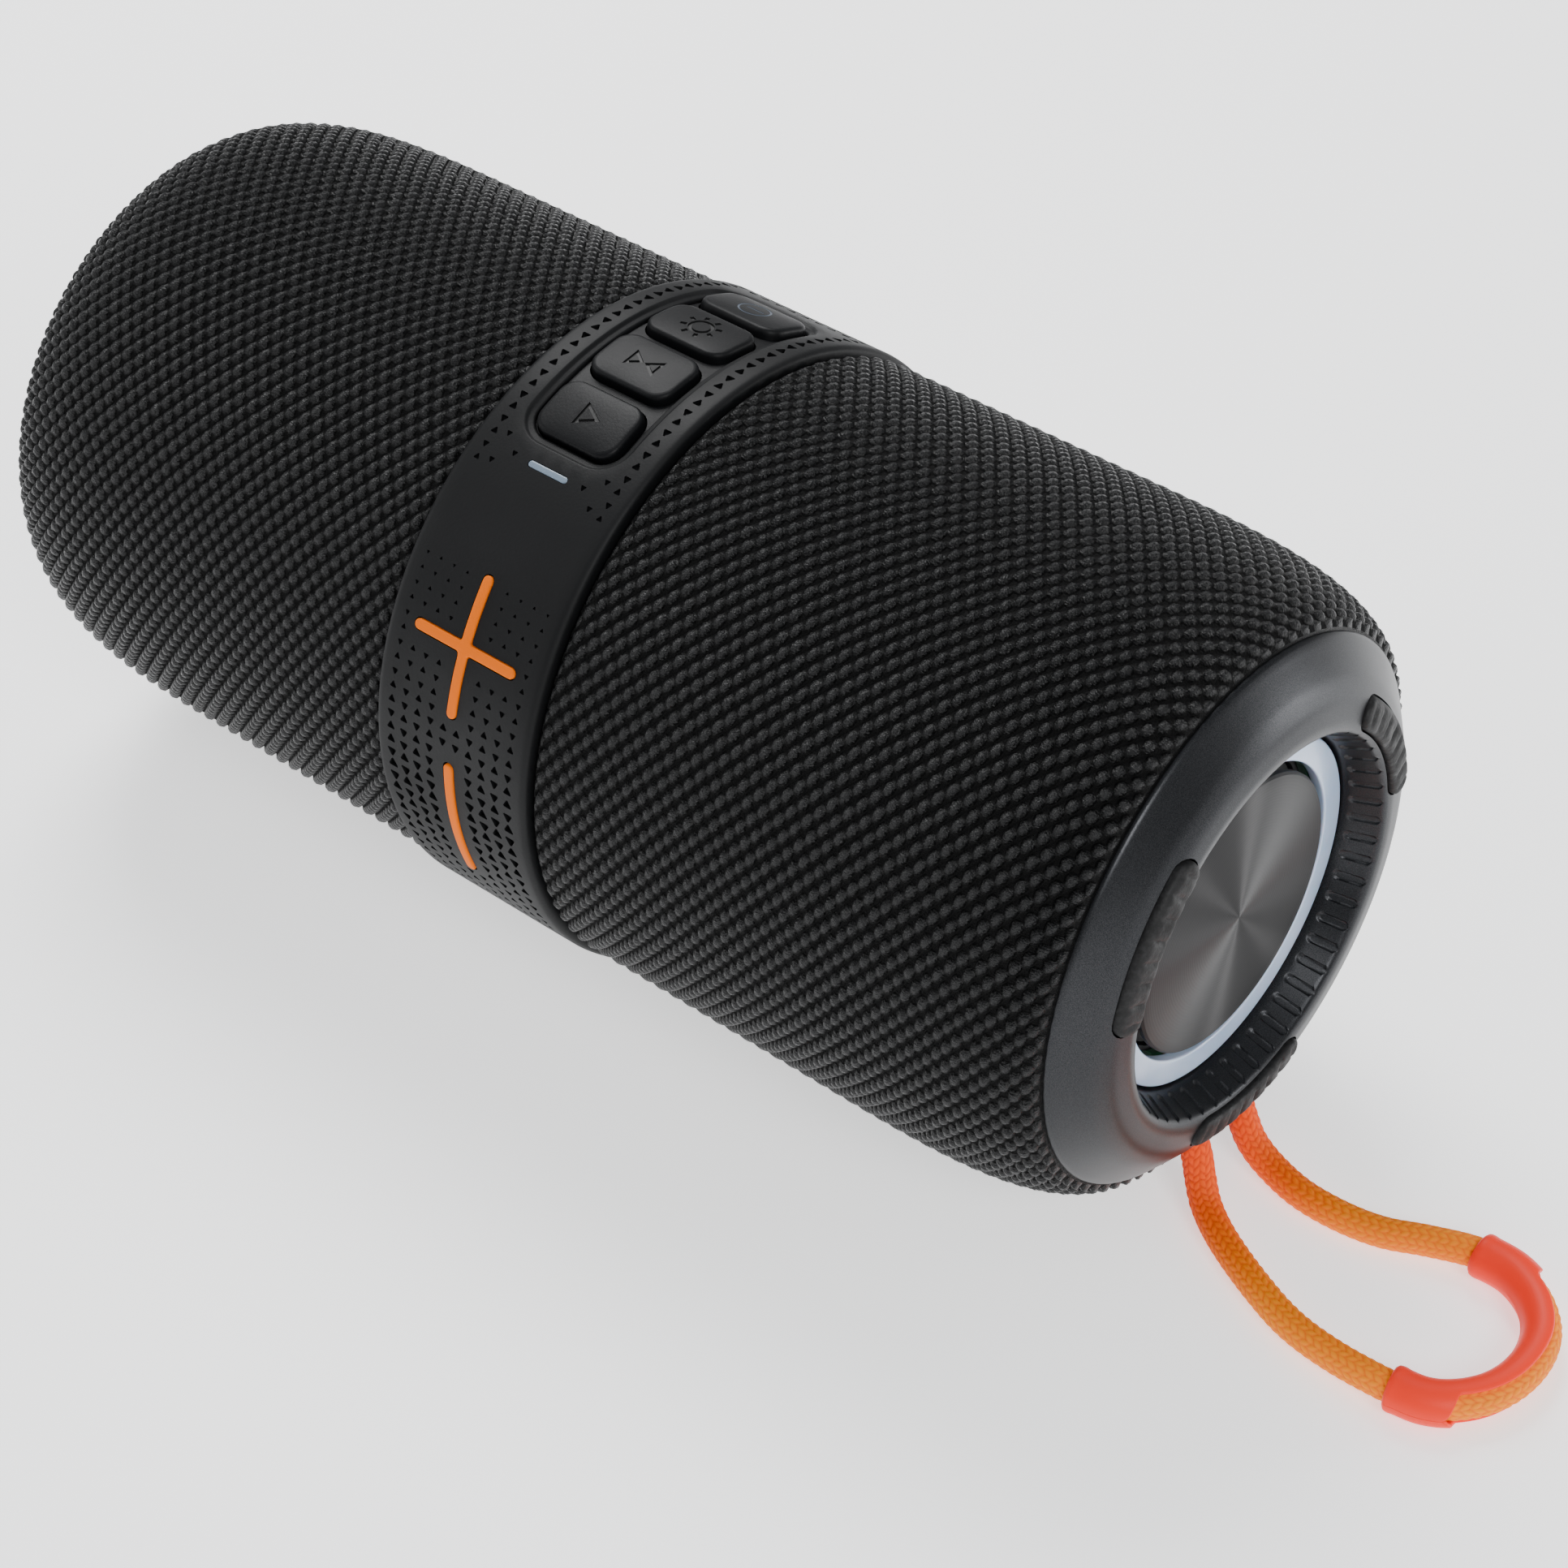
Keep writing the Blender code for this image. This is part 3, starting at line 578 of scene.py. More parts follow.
def grip_sleeve(name, materials):
    """A moulded sleeve round the bend: closed cuffs at its ends, and open outwards between them."""
    step = 0.25
    wall = 0.62
    points = smooth_route(ROUTE[SLEEVE_SPAN], step)
    total = len(points) - 1
    cuff = 6.4
    ramp = 2.2
    count = 40
    shape = Shape()
    rows = []
    for i, (here, out, up) in enumerate(framed(points)):
        s = i * step
        from_end = min(s, (total - i) * step)
        t = min(1.0, max(0.0, (from_end - cuff) / ramp))
        opening = radians(78.0) * t * t * (3.0 - 2.0 * t) + 0.012
        tip = min(1.0, from_end / 0.5)
        soft = 0.32 * (1.0 - sqrt(max(0.0, 1.0 - (1.0 - tip) ** 2)))
        lip = 0.16 * exp(-((from_end - 0.9) / 0.45) ** 2)
        outer = SLEEVE_RADIUS - 0.1 - soft + lip * 0.5
        inner = outer - wall + soft * 0.4
        middle = (outer + inner) / 2.0
        half = (outer - inner) / 2.0
        row = []
        for k in range(count + 1):
            angle = opening + (2.0 * pi - 2.0 * opening) * k / count
            ridge = 0.12 * exp(-((angle - pi) / 0.07) ** 2) * t
            row.append(around_route(here, out, up, angle, outer + ridge))
        for k in range(1, 5):
            turn = pi * k / 5.0
            angle = 2.0 * pi - opening + half / middle * sin(turn) * min(1.0, opening * 4.0)
            row.append(around_route(here, out, up, angle, middle + half * cos(turn)))
        for k in range(count + 1):
            angle = 2.0 * pi - opening - (2.0 * pi - 2.0 * opening) * k / count
            row.append(around_route(here, out, up, angle, inner))
        for k in range(1, 5):
            turn = pi * k / 5.0
            angle = opening - half / middle * sin(turn) * min(1.0, opening * 4.0)
            row.append(around_route(here, out, up, angle, middle - half * cos(turn)))
        rows.append(row)
    made = shape.rows(rows)
    for end in (made[0], made[-1]):
        outer_edge = end[:count + 1]
        inner_edge = list(reversed(end[count + 5:2 * count + 6]))
        shape.strip(outer_edge, inner_edge, closed=False)
        shape.face(list(end[count:count + 6]))
        shape.face(list(end[2 * count + 5:]) + [end[0]])
    return add_object(name, shape.mesh(name, weld=0.0, sharp=50.0), materials)


def around_route(here, out, up, angle, r):
    return (here + (out * cos(angle) + up * sin(angle)) * r) * MM


# ---------------- materials

SLOTS = {part["node"]: part["material_slot"] for part in frame["record"]["subparts"]}



def knit_look():
    """Glossy polyester knit: a plump bump for each loop, in staggered rows, and painted shade that turns the
    gaps between them black.
    """
    look = Look("knit_fabric", (0.002, 0.002, 0.0022), 0.4, Specular_IOR_Level=0.28)
    uv = look.node("UVMap", uv_map="knit")
    u, v, _ = look.axes(uv)
    bumps = []
    for shift in (0.0, 0.5):
        across = look.math("SUBTRACT", look.math("FRACT", look.math("ADD", u, shift)), 0.5)
        along = look.math("SUBTRACT", look.math("FRACT", look.math("ADD", v, shift)), 0.5)
        across = look.math("MULTIPLY_ADD", along, LOOP_LEAN, across)
        flat = look.math("MULTIPLY", across, across)
        along = look.math("MULTIPLY_ADD", flat, LOOP_BEND, along)
        left = look.math("MULTIPLY_ADD", flat, -1.0 / LOOP_REACH ** 2, 1.0)
        tall = look.math("MULTIPLY", along, along)
        bumps.append(look.math("MULTIPLY_ADD", tall, -1.0 / LOOP_RISE ** 2, left))
    loops = look.math("SQRT", look.math("MAXIMUM", look.math("MAXIMUM", bumps[0], bumps[1]), 0.0))
    strand_place = look.node("Mapping", {"Vector": uv, "Scale": (8.0, 16.0, 1.0)})
    strands = look.noise(1.0, 2.0, strand_place)
    fuzz = look.noise(5200.0, 2.0)
    height = look.math("MULTIPLY_ADD", strands, 0.5, loops)
    # Painted shade: the base colour runs from the loop colour on each loop's top down to black in the gaps
    # between loops.
    look.set("Base Color", look.ramp(loops, (0.0001, 0.0001, 0.0001), (0.0046, 0.0048, 0.0053), 0.5, 1.0))
    gloss = look.spread(strands, 0.24, 0.44, 0.3, 0.7)
    look.set("Roughness", look.math("MAXIMUM", gloss, look.spread(loops, 0.95, 0.2, 0.1, 0.7)))
    fine = look.bump(fuzz, 0.00003, 0.5)
    look.set("Normal", look.bump(height, 0.0006, 1.0, fine))
    return look.material


def cap_look():
    """Dark metallic lacquer with a fine silver grain."""
    look = Look("cap_metal", (0.05, 0.051, 0.055), 0.36, 0.85)
    grain = look.noise(9000.0, 2.0)
    patch = look.noise(30.0, 3.0)
    look.set("Base Color", look.ramp(grain, (0.015, 0.016, 0.018), (0.044, 0.045, 0.048), 0.35, 0.75))
    look.set("Roughness", look.spread(patch, 0.33, 0.42, 0.3, 0.7))
    look.set("Normal", look.bump(grain, 0.000012, 0.5))
    return look.material


def disc_look():
    """Spun aluminium: turning marks round the axis stretch each highlight into spokes."""
    look = Look("disc_aluminium", (0.2, 0.2, 0.21), 0.42, 1.0, Anisotropic=1.0, Anisotropic_Rotation=0.25)
    _, y, height = look.axes(look.place())
    z = look.math("SUBTRACT", height, AXIS_HEIGHT * MM)
    distance = look.math("SQRT", look.math("ADD", look.math("MULTIPLY", y, y), look.math("MULTIPLY", z, z)))
    marks = look.math("SINE", look.math("MULTIPLY", distance, 2.0 * pi / 0.00042))
    rings = look.node("CombineXYZ", {0: look.math("MULTIPLY", distance, 2400.0)})
    uneven = look.noise(1.0, 3.0, rings)
    look.set("Base Color", look.ramp(uneven, (0.032, 0.032, 0.033), (0.046, 0.045, 0.045), 0.3, 0.7))
    look.set("Roughness", look.spread(uneven, 0.40, 0.44, 0.3, 0.7))
    look.set("Normal", look.bump(marks, 0.000004, 0.5))
    look.set("Tangent", look.node("Tangent", direction_type="RADIAL", axis="X"))
    return look.material


def ring_look():
    look = Look("ring_diffuser", (0.42, 0.53, 0.70), 0.22, Coat_Weight=0.4, Coat_Roughness=0.1,
                Subsurface_Weight=0.25, Subsurface_Scale=0.002)
    cloud = look.noise(70.0, 3.0)
    look.set("Base Color", look.ramp(cloud, (0.34, 0.45, 0.62), (0.52, 0.62, 0.78), 0.3, 0.7))
    look.set("Normal", look.bump(look.noise(4000.0, 2.0), 0.00001, 0.4))
    return look.material


def foot_look():
    look = Look("foot_rubber", (0.005, 0.005, 0.005), 0.6, Specular_IOR_Level=0.3)
    speck = look.noise(1500.0, 5.0)
    patch = look.noise(320.0, 4.0)
    look.set("Base Color", look.ramp(speck, (0.003, 0.003, 0.0032), (0.014, 0.014, 0.015), 0.45, 0.8))
    look.set("Roughness", look.spread(patch, 0.45, 0.75, 0.3, 0.7))
    look.set("Normal", look.bump(look.math("ADD", speck, patch), 0.00012, 0.7))
    return look.material


def braid_look():
    """Woven polyester: orange strands, with painted shade giving a dark orange in the dips between them;
    redder by the cap.
    """
    look = Look("braided_cord", (1.0, 0.235, 0.006), 0.62, Specular_IOR_Level=0.15)
    x = look.axes(look.place())[0]
    loft = look.node("Attribute", out="Fac", attribute_name="loft")
    near = look.ramp(x, (1.0, 0.075, 0.0), (1.0, 0.28, 0.0), 0.093, 0.112)
    deep = look.ramp(x, (0.70, 0.028, 0.0), (0.90, 0.150, 0.0), 0.093, 0.112)
    # Painted shade: the low parts of the braid, between strands, take the darker orange.
    look.set("Base Color", look.ramp(loft, deep, near, 0.15, 0.85))
    fibres = look.noise(7000.0, 2.0)
    look.set("Roughness", look.spread(fibres, 0.5, 0.75, 0.3, 0.7))
    look.set("Normal", look.bump(fibres, 0.00005, 0.5))
    return look.material


def board_look():
    """Green circuit board with paler tracks."""
    look = Look("circuit_board", (0.01, 0.09, 0.04), 0.4, Coat_Weight=0.3, Coat_Roughness=0.2)
    tracks = look.node("TexVoronoi", {"Vector": look.place(), "Scale": 420.0, "Randomness": 0.6},
                       distance="MANHATTAN")
    look.set("Base Color", look.ramp(tracks, (0.03, 0.2, 0.08), (0.008, 0.07, 0.03), 0.25, 0.3))
    look.set("Normal", look.bump(tracks, 0.00005, 0.3))
    return look.material


def metal(name, colour, roughness):
    look = Look(name, colour, roughness, 1.0)
    grain = look.noise(2500.0, 3.0)
    look.set("Roughness", look.spread(grain, roughness - 0.07, roughness + 0.1, 0.3, 0.7))
    look.set("Normal", look.bump(grain, 0.00002, 0.4))
    return look.material


RUBBERS = (
    ("belt_rubber", (0.0030, 0.0032, 0.0036), 0.56, {"Specular_IOR_Level": 0.2}),
    ("button_rubber", (0.0026, 0.0028, 0.0034), 0.5, {"Specular_IOR_Level": 0.16}),
    ("orange_rubber", (0.80, 0.150, 0.0), 0.5, {"wear": 1.0, "Specular_IOR_Level": 0.06}),
    ("status_diffuser", (0.16, 0.21, 0.27), 0.3, {"wear": 1.1}),
    ("surround_rubber", (0.008, 0.008, 0.009), 0.5, {}),
    ("core_plastic", (0.018, 0.018, 0.02), 0.5, {"wear": 1.2}),
    ("cone_paper", (0.02, 0.02, 0.022), 0.7, {"grain": 0.0001}),
    ("battery_wrap", (0.03, 0.12, 0.4), 0.3, {"wear": 1.1}),
    ("sleeve_rubber", (1.0, 0.032, 0.008), 0.42, {"grain": 0.00003, "wear": 1.0, "Specular_IOR_Level": 0.2,
                                                 "Subsurface_Weight": 0.12, "Subsurface_Scale": 0.001}),
)
METALS = (
    ("driver_steel", (0.45, 0.45, 0.46), 0.35),
    ("magnet_iron", (0.09, 0.09, 0.10), 0.5),
    ("screw_steel", (0.55, 0.55, 0.56), 0.28),
    ("switch_steel", (0.6, 0.6, 0.6), 0.3),
)
LOOKS = {"knit_fabric": knit_look(), "foot_rubber": foot_look(), "ring_diffuser": ring_look(),
         "circuit_board": board_look(), "cap_metal": cap_look(), "disc_aluminium": disc_look(),
         "braided_cord": braid_look()}
for name, colour, roughness, settings in RUBBERS:
    LOOKS[name] = rubber(name, colour, roughness, **settings)
for name, colour, roughness in METALS:
    LOOKS[name] = metal(name, colour, roughness)
ENGRAVED = rubber("engraved_icon", (0.0015, 0.0015, 0.0018), 0.6)
PALE_ICON = rubber("pale_icon", (0.055, 0.075, 0.105), 0.4, wear=1.1)


def look_of(node):
    return LOOKS[SLOTS[node]]


# ---------------- lanyard

cord, cord_path = braided_cord("lanyard_braid", [look_of("lanyard_cord")])
stand_for(cord, "lanyard_cord")
sleeve = grip_sleeve("lanyard_grip", [look_of("lanyard_sleeve")])
stand_for(sleeve, "lanyard_sleeve")
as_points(cord_path)


# ---------------- knitted cover

SHOULDER_START, SHOULDER_LENGTH, SHOULDER_DROP, SHOULDER_POWER = 55.2, 37.4, 13.2, 3.5
COVER_START, COVER_LENGTH = 13.7, 77.05


def shoulder_drop(x):
    past = max(0.0, (x - SHOULDER_START) / SHOULDER_LENGTH)
    return SHOULDER_DROP * (1.0 - (1.0 - past ** SHOULDER_POWER) ** (1.0 / SHOULDER_POWER))


def cover_line(step):
    """Points one step apart along the cover's outline, from the belt to the cap."""
    along = [COVER_START + COVER_LENGTH * i / 3000 for i in range(3001)]
    dense = [(x, KNIT_RADIUS - shoulder_drop(x)) for x in along]
    made = [dense[0]]
    run = 0.0
    for a, b in zip(dense, dense[1:]):
        run += hypot(b[0] - a[0], b[1] - a[1])
        if run >= step:
            made.append(b)
            run -= step
    return made


def loop_loft(u, v):
    """Height of the knit, 0 to 1, at (u, v) counted in loops along and pairs of rows round."""
    best = 0.0
    for shift in (0.0, 0.5):
        across = (u + shift) % 1.0 - 0.5
        along = (v + shift) % 1.0 - 0.5
        across += LOOP_LEAN * along
        along += LOOP_BEND * across * across
        best = max(best, 1.0 - (across / LOOP_REACH) ** 2 - (along / LOOP_RISE) ** 2)
    return sqrt(best)


def knit_cover(name, side):
    """Half of the cover: knitted outside, plain inside, with the loops counted in its UV map."""
    columns = KNIT_ROWS // 2 * LOOP_FACES
    step = KNIT_PITCH / LOOP_FACES
    line = cover_line(step)
    rows = []
    spots = []
    last = len(line) - 1
    for i, (x, r) in enumerate(line):
        ahead = line[min(i + 1, last)]
        behind = line[max(i - 1, 0)]
        slope = Vector((ahead[0] - behind[0], ahead[1] - behind[1])).normalized()
        fade = min(1.0, i / 2.0, (last - i) / 2.0)
        row = []
        for k in range(columns):
            u = i * step / KNIT_PITCH
            v = k / LOOP_FACES
            lift = KNIT_HEIGHT * loop_loft(u, v) * fade
            angle = 2.0 * pi * k / columns
            row.append(on_barrel(side * (x - slope.y * lift), side * angle, r + slope.x * lift))
            spots.append((u, v))
        rows.append(row)
    inside = [(90.75, line[-1][1] - 0.5), (90.6, line[-1][1] - 0.95)]
    inside += [(x, KNIT_RADIUS - shoulder_drop(x) - COVER_WALL) for x in (88.0, 84.0, 78.0, 70.0, 60.0)]
    inside += [(13.6, KNIT_RADIUS - COVER_WALL), (13.55, KNIT_RADIUS - 0.35)]
    for x, r in inside:
        rows.append([on_barrel(side * x, side * 2.0 * pi * k / columns, r) for k in range(columns)])
        spots.extend((0.0, k / LOOP_FACES) for k in range(columns))
    shape = Shape()
    made = shape.rows(rows)
    shape.strip(made[-1], made[0])
    mesh = shape.mesh(name, weld=0.0, sharp=80.0)
    layer = mesh.uv_layers.new(name="knit")
    corners = [0] * len(mesh.loops)
    mesh.loops.foreach_get("vertex_index", corners)
    seam = columns - 1
    flat = []
    for polygon in mesh.polygons:
        wraps = any(mesh.loops[i].vertex_index % columns == seam for i in polygon.loop_indices)
        for i in polygon.loop_indices:
            index = corners[i]
            u, v = spots[index]
            if wraps and index % columns == 0:
                v += KNIT_ROWS / 2.0
            flat.extend((u, v))
    layer.data.foreach_set("uv", flat)
    return add_object(name, mesh, [LOOKS["knit_fabric"]])


stand_for(knit_cover("knit_cover_right", 1), "fabric_right")
stand_for(knit_cover("knit_cover_left", -1), "fabric_left")


# ---------------- control belt

TRAY = (17.6, 45.4, 4.8)
PLUS_PHI, MINUS_PHI, WINDOW_PHI, FLAP_PHI = 64.0, 98.5, 32.2, -108.0
PLUS = (8.65, 9.95, 0.725, 0.5)
MINUS = (1.45, 20.2, 0.72)
WINDOW = (6.5, 0.9, 0.44)
FLAP = (18.0, 12.6, 2.0)
FLAP_GAP = 0.25
KEY_RECESS = 2.0


def moved(points, phi):
    shift = radians(phi) * BELT_RADIUS
    return [(u, v + shift) for u, v in points]


def between(value, table):
    """Straight-line lookup in a table of (place, value) pairs in rising order."""
    for (a, low), (b, high) in zip(table, table[1:]):
        if a <= value <= b:
            return low + (high - low) * (value - a) / (b - a)
    return 0.0


def near_symbol(x, phi, size):
    """True where a dimple would touch the plus or the minus."""
    room = 0.5 + size * 0.6
    across = abs(x)
    from_plus = abs(phi - PLUS_PHI) * BELT_RADIUS * pi / 180.0
    from_minus = abs(phi - MINUS_PHI) * BELT_RADIUS * pi / 180.0
    on_plus = ((across < 0.8 + room and from_plus < 10.0 + room)
               or (across < 8.7 + room and from_plus < 0.8 + room))
    return on_plus or (across < 0.8 + room and from_minus < 10.2 + room)


def dimple_places():
    """(x, phi, size, way) of each small triangular recess; way says which way it points."""
    made = []
    for i in range(29):
        phi = 35.2 - 2.6 * i
        size = between(phi, ((-40.0, 1.5), (-20.0, 1.45), (24.0, 1.2), (36.0, 0.85)))
        made += [(x, phi, size, i % 2) for x in (10.55, -10.55)]
    for x, phi in ((8.4, 29.3), (8.4, 34.5), (5.9, 31.9)):
        made += [(x, phi, 0.85, 1), (-x, phi, 0.85, 1)]
    front = ((50.0, 0.42), (67.0, 0.8), (77.0, 1.1), (87.0, 1.4), (94.0, 1.65), (102.0, 1.55),
             (112.0, 1.3), (130.0, 0.8), (146.0, 0.45))
    for i in range(35):
        phi = 52.6 + 2.65 * i
        size = between(phi, front)
        rows = [3.47, 5.8, 8.1, 10.4]
        if 77.5 < phi < 87.0 or phi > 111.5:
            rows = [1.16] + rows
        made += [(side * x, phi, size, (i + n) % 2) for n, x in enumerate(rows) for side in (1, -1)]
    rear = ((-98.0, 0.45), (-60.0, 1.2), (-33.0, 1.5))
    for i in range(24):
        phi = -34.0 - 2.65 * i
        size = between(phi, rear)
        rows = [1.16, 3.47, 5.8, 8.1] + ([10.55] if phi < -40.0 else [])
        made += [(side * x, phi, size, (i + n) % 2) for n, x in enumerate(rows) for side in (1, -1)]
    return [(x, phi, size, way) for x, phi, size, way in made if size > 0.3 and not near_symbol(x, phi, size)]


def dimple(x, phi, size, way):
    """Outline of a triangle with softened corners, one corner pointing round the barrel."""
    turn = pi / 2.0 if way else -pi / 2.0
    corners = [(0.67 * size * cos(turn + a), 0.67 * size * sin(turn + a)) for a in (0.0, 2.094, 4.189)]
    soft = rounded_corners(corners, 0.17 * size, 1)
    return moved([(x + u, v) for u, v in soft], phi)


def control_belt():
    """The band with its tray, hatch, key recesses and dimples; inset grows inwards from each edge."""
    shape = Shape()
    half_turn = pi * BELT_RADIUS
    around = [-half_turn + 2.0 * half_turn * i / BELT_STEPS for i in range(BELT_STEPS + 1)]

    def band(half_width):
        across = 16
        edge = [(half_width, v) for v in around]
        edge += [(half_width - 2.0 * half_width * i / across, half_turn) for i in range(1, across)]
        edge += [(-half_width, v) for v in reversed(around)]
        edge += [(-half_width + 2.0 * half_width * i / across, -half_turn) for i in range(1, across)]
        return edge

    def tray(inset):
        return box_outline(*TRAY, inset)

    def hatch(inset):
        return moved(box_outline(*FLAP, inset), FLAP_PHI)

    place = wrapped(0.0)
    recesses = [([tray(0.0)], None, 0), ([hatch(-FLAP_GAP)], None, 0)]
    recesses.append(([moved(cross_outline(*PLUS, inset=-0.2), PLUS_PHI)], KEY_RECESS, 0))
    recesses.append(([moved(box_outline(*MINUS, inset=-0.26), MINUS_PHI)], KEY_RECESS, 0))
    recesses.append(([moved(box_outline(*WINDOW, inset=-0.08), WINDOW_PHI)], 1.95, 0))
    recesses += [([dimple(*spot)], 0.28 + 0.2 * spot[2], 0) for spot in dimple_places()]
    fill(shape, place, band(BELT_CROWN), 1.5, BELT_RADIUS, recesses)
    rim = ((0.0, 45.0), (0.12, 44.96), (0.3, 44.8), (0.42, 44.62), (0.6, 44.52), (1.05, 44.46), (1.2, 44.38),
           (1.32, 44.2), (1.36, 43.9), (1.36, BELT_INSIDE))
    shape.rows([[place(u, v, r) for u, v in tray(inset)] for inset, r in rim])
    shape.rows([[place(u, v, r) for u, v in hatch(inset)] for inset, r in
                ((-FLAP_GAP, BELT_RADIUS), (-FLAP_GAP, BELT_INSIDE))])
    edge = rounded_corners(((BELT_CROWN, 45.0), (12.65, 44.93), (13.15, 44.6), (13.3, 44.0),
                            (13.3, BELT_INSIDE)), 0.3, 3, closed=False)
    for side in (1, -1):
        shape.rows([[place(side * x, v, r) for v in around[:-1]] for x, r in edge])
    fill(shape, place, band(13.3), 4.0, BELT_INSIDE, [([tray(1.36)], None, 0), ([hatch(-FLAP_GAP)], None, 0)])
    add_piece("belt_band", shape, "control_belt", weld=3e-6)


control_belt()


# ---------------- keypad

BUTTON = (13.6, 9.1, 2.7)
BUTTON_PITCH = 13.9
BUTTON_GAP = 0.28
FRAME_TOP = 43.9


def button_phis():
    return [BUTTON_PITCH * place for place in (1.5, 0.5, -0.5, -1.5)]


def keypad_plate():
    """The floor of the tray, with a hole for each button."""
    place = wrapped(0.0)
    edge = box_outline(*TRAY, 1.42)
    holes = [moved(box_outline(*BUTTON, inset=-BUTTON_GAP), phi) for phi in button_phis()]
    levels = (FRAME_TOP, BELT_INSIDE + 0.02)
    shape = Shape()
    for level in levels:
        fill(shape, place, edge, 1.2, level, [([hole], None, 0) for hole in holes])
    for loop in [edge] + holes:
        shape.rows([[place(u, v, r) for u, v in loop] for r in levels])
    plate = add_object("keypad_plate", shape.mesh("keypad_plate"), [LOOKS["button_rubber"]])
    stand_for(plate, "keypad_frame")


def circle(radius, count=32):
    return [(radius * cos(2 * pi * i / count), radius * sin(2 * pi * i / count)) for i in range(count)]


def drawn_triangle(a, b, c, stroke):
    """Outer and inner loop of a triangle drawn with a line of the given width."""
    corners = [Vector(a), Vector(b), Vector(c)]
    sides = [(corners[(i + 1) % 3] - corners[(i + 2) % 3]).length for i in range(3)]
    middle = sum((p * s for p, s in zip(corners, sides)), Vector((0.0, 0.0))) / sum(sides)
    half = sum(sides) / 2.0
    inner_radius = sqrt((half - sides[0]) * (half - sides[1]) * (half - sides[2]) / half)
    inner = [middle + (p - middle) * (1.0 - stroke / inner_radius) for p in corners]
    return [[tuple(p) for p in corners], [tuple(p) for p in inner]]


def ray(angle, start, end, width):
    return [turned_2d(p, angle) for p in ((start, -width / 2), (end, -width / 2), (end, width / 2),
                                          (start, width / 2))]


def icons():
    """Loops of each button's engraved symbol."""
    play = [(drawn_triangle((-1.4, -1.9), (-1.4, 1.9), (2.0, 0.0), 0.5), 0.25, 1)]
    pairing = [(drawn_triangle((side * 2.45, -1.6), (side * 2.45, 1.6), (side * 0.06, 0.0), 0.44), 0.25, 1)
               for side in (1, -1)]
    light = [([circle(1.75), circle(1.22)], 0.25, 1)]
    light += [([ray(radians(45.0 * i + 22.5), 1.98, 2.85, 0.6)], 0.25, 1) for i in range(8)]
    power = [([circle(2.35), circle(2.08)], 0.04, 2), ([ray(0.0, -1.3, 1.5, 0.27)], 0.04, 2)]
    return (play, pairing, light, power)


def button_dome(u, v):
    """How far a button's top rises towards its middle."""
    return 0.1 * max(0.0, 1.0 - (u / 6.05) ** 4) * max(0.0, 1.0 - (v / 3.8) ** 4)


def keypad():
    keypad_plate()
    names = ("play_button", "pairing_button", "light_button", "power_button")
    rings = ((0.0, 42.1), (0.0, 44.35), (0.03, 44.72), (0.12, 45.0), (0.28, 45.19), (0.48, 45.29),
             (0.75, 45.33))
    for name, phi, symbol in zip(names, button_phis(), icons()):
        shape = padded_block(wrapped(phi), lambda inset: box_outline(*BUTTON, inset), rings, 0.8, symbol,
                             button_dome)
        add_piece(name + "_pad", shape, name, (ENGRAVED, PALE_ICON))


keypad()


# ---------------- volume keys, window, port flap

KEY_RINGS = ((0.0, 44.0), (0.0, 45.12), (0.06, 45.22), (0.17, 45.28), (0.32, 45.3))
WINDOW_RINGS = ((0.0, 43.2), (0.0, 44.95), (0.08, 45.02), (0.2, 45.04))
FLAP_RINGS = ((0.35, 43.2), (0.05, 43.4), (0.0, 43.6), (0.0, 44.55), (0.1, 44.8), (0.3, 44.93), (0.6, 44.95))


def small_blocks():
    """The bars of the plus and minus keys, the status window, and the flap with its grip and its line."""
    grip = [(u, v + 4.6) for u, v in box_outline(7.0, 1.1, 0.5)]
    line = [box_outline(12.0, 6.4, 1.2), box_outline(11.4, 5.8, 0.95)]
    on_flap = [([grip], 0.5, 0), (line, 0.15, 0)]
    blocks = (
        ("volume_up_bar", "volume_up_key", PLUS_PHI, cross_outline, PLUS, KEY_RINGS, 0.7, ()),
        ("volume_down_bar", "volume_down_key", MINUS_PHI, box_outline, MINUS, KEY_RINGS, 0.7, ()),
        ("status_bar", "status_window", WINDOW_PHI, box_outline, WINDOW, WINDOW_RINGS, 0.5, ()),
        ("port_cover", "port_flap", FLAP_PHI, box_outline, FLAP, FLAP_RINGS, 1.2, on_flap),
    )
    for name, node, phi, outline, size, rings, spacing, recesses in blocks:
        shape = padded_block(wrapped(phi), lambda inset: outline(*size, inset), rings, spacing, recesses)
        add_piece(name, shape, node)


small_blocks()


def base_feet():
    """Rubber strips under the belt, with fine cross grooves in their soles."""
    rings = ((0.0, 0.5), (0.1, 0.2), (0.35, 0.03), (0.6, 0.0))
    strip = (23.0, 5.0, 1.2)
    groove = box_outline(0.5, 3.4, 0.2)
    grooves = [([[(u + x, v) for u, v in groove]], -0.35, 0) for x in range(-9, 10, 3)]
    for name, middle in (("base_foot_front", -15.5), ("base_foot_rear", 15.5)):
        def place(u, v, level, middle=middle):
            return (u * MM, (middle + v) * MM, level * MM)

        def seat(v, middle=middle):
            return AXIS_HEIGHT - sqrt(45.05 ** 2 - (middle + v) ** 2)

        outline = box_outline(*strip, 0.0)
        rows = [[place(u, v, seat(v)) for u, v in outline]]
        rows += [[place(u, v, level) for u, v in box_outline(*strip, inset)] for inset, level in rings]
        shape = Shape()
        made = shape.rows(rows)
        fill(shape, place, box_outline(*strip, 0.6), 1.2, 0.0, grooves)
        shape.face(made[0])
        add_piece(name + "_strip", shape, name)


base_feet()


# ---------------- end caps, feet, radiators, lights

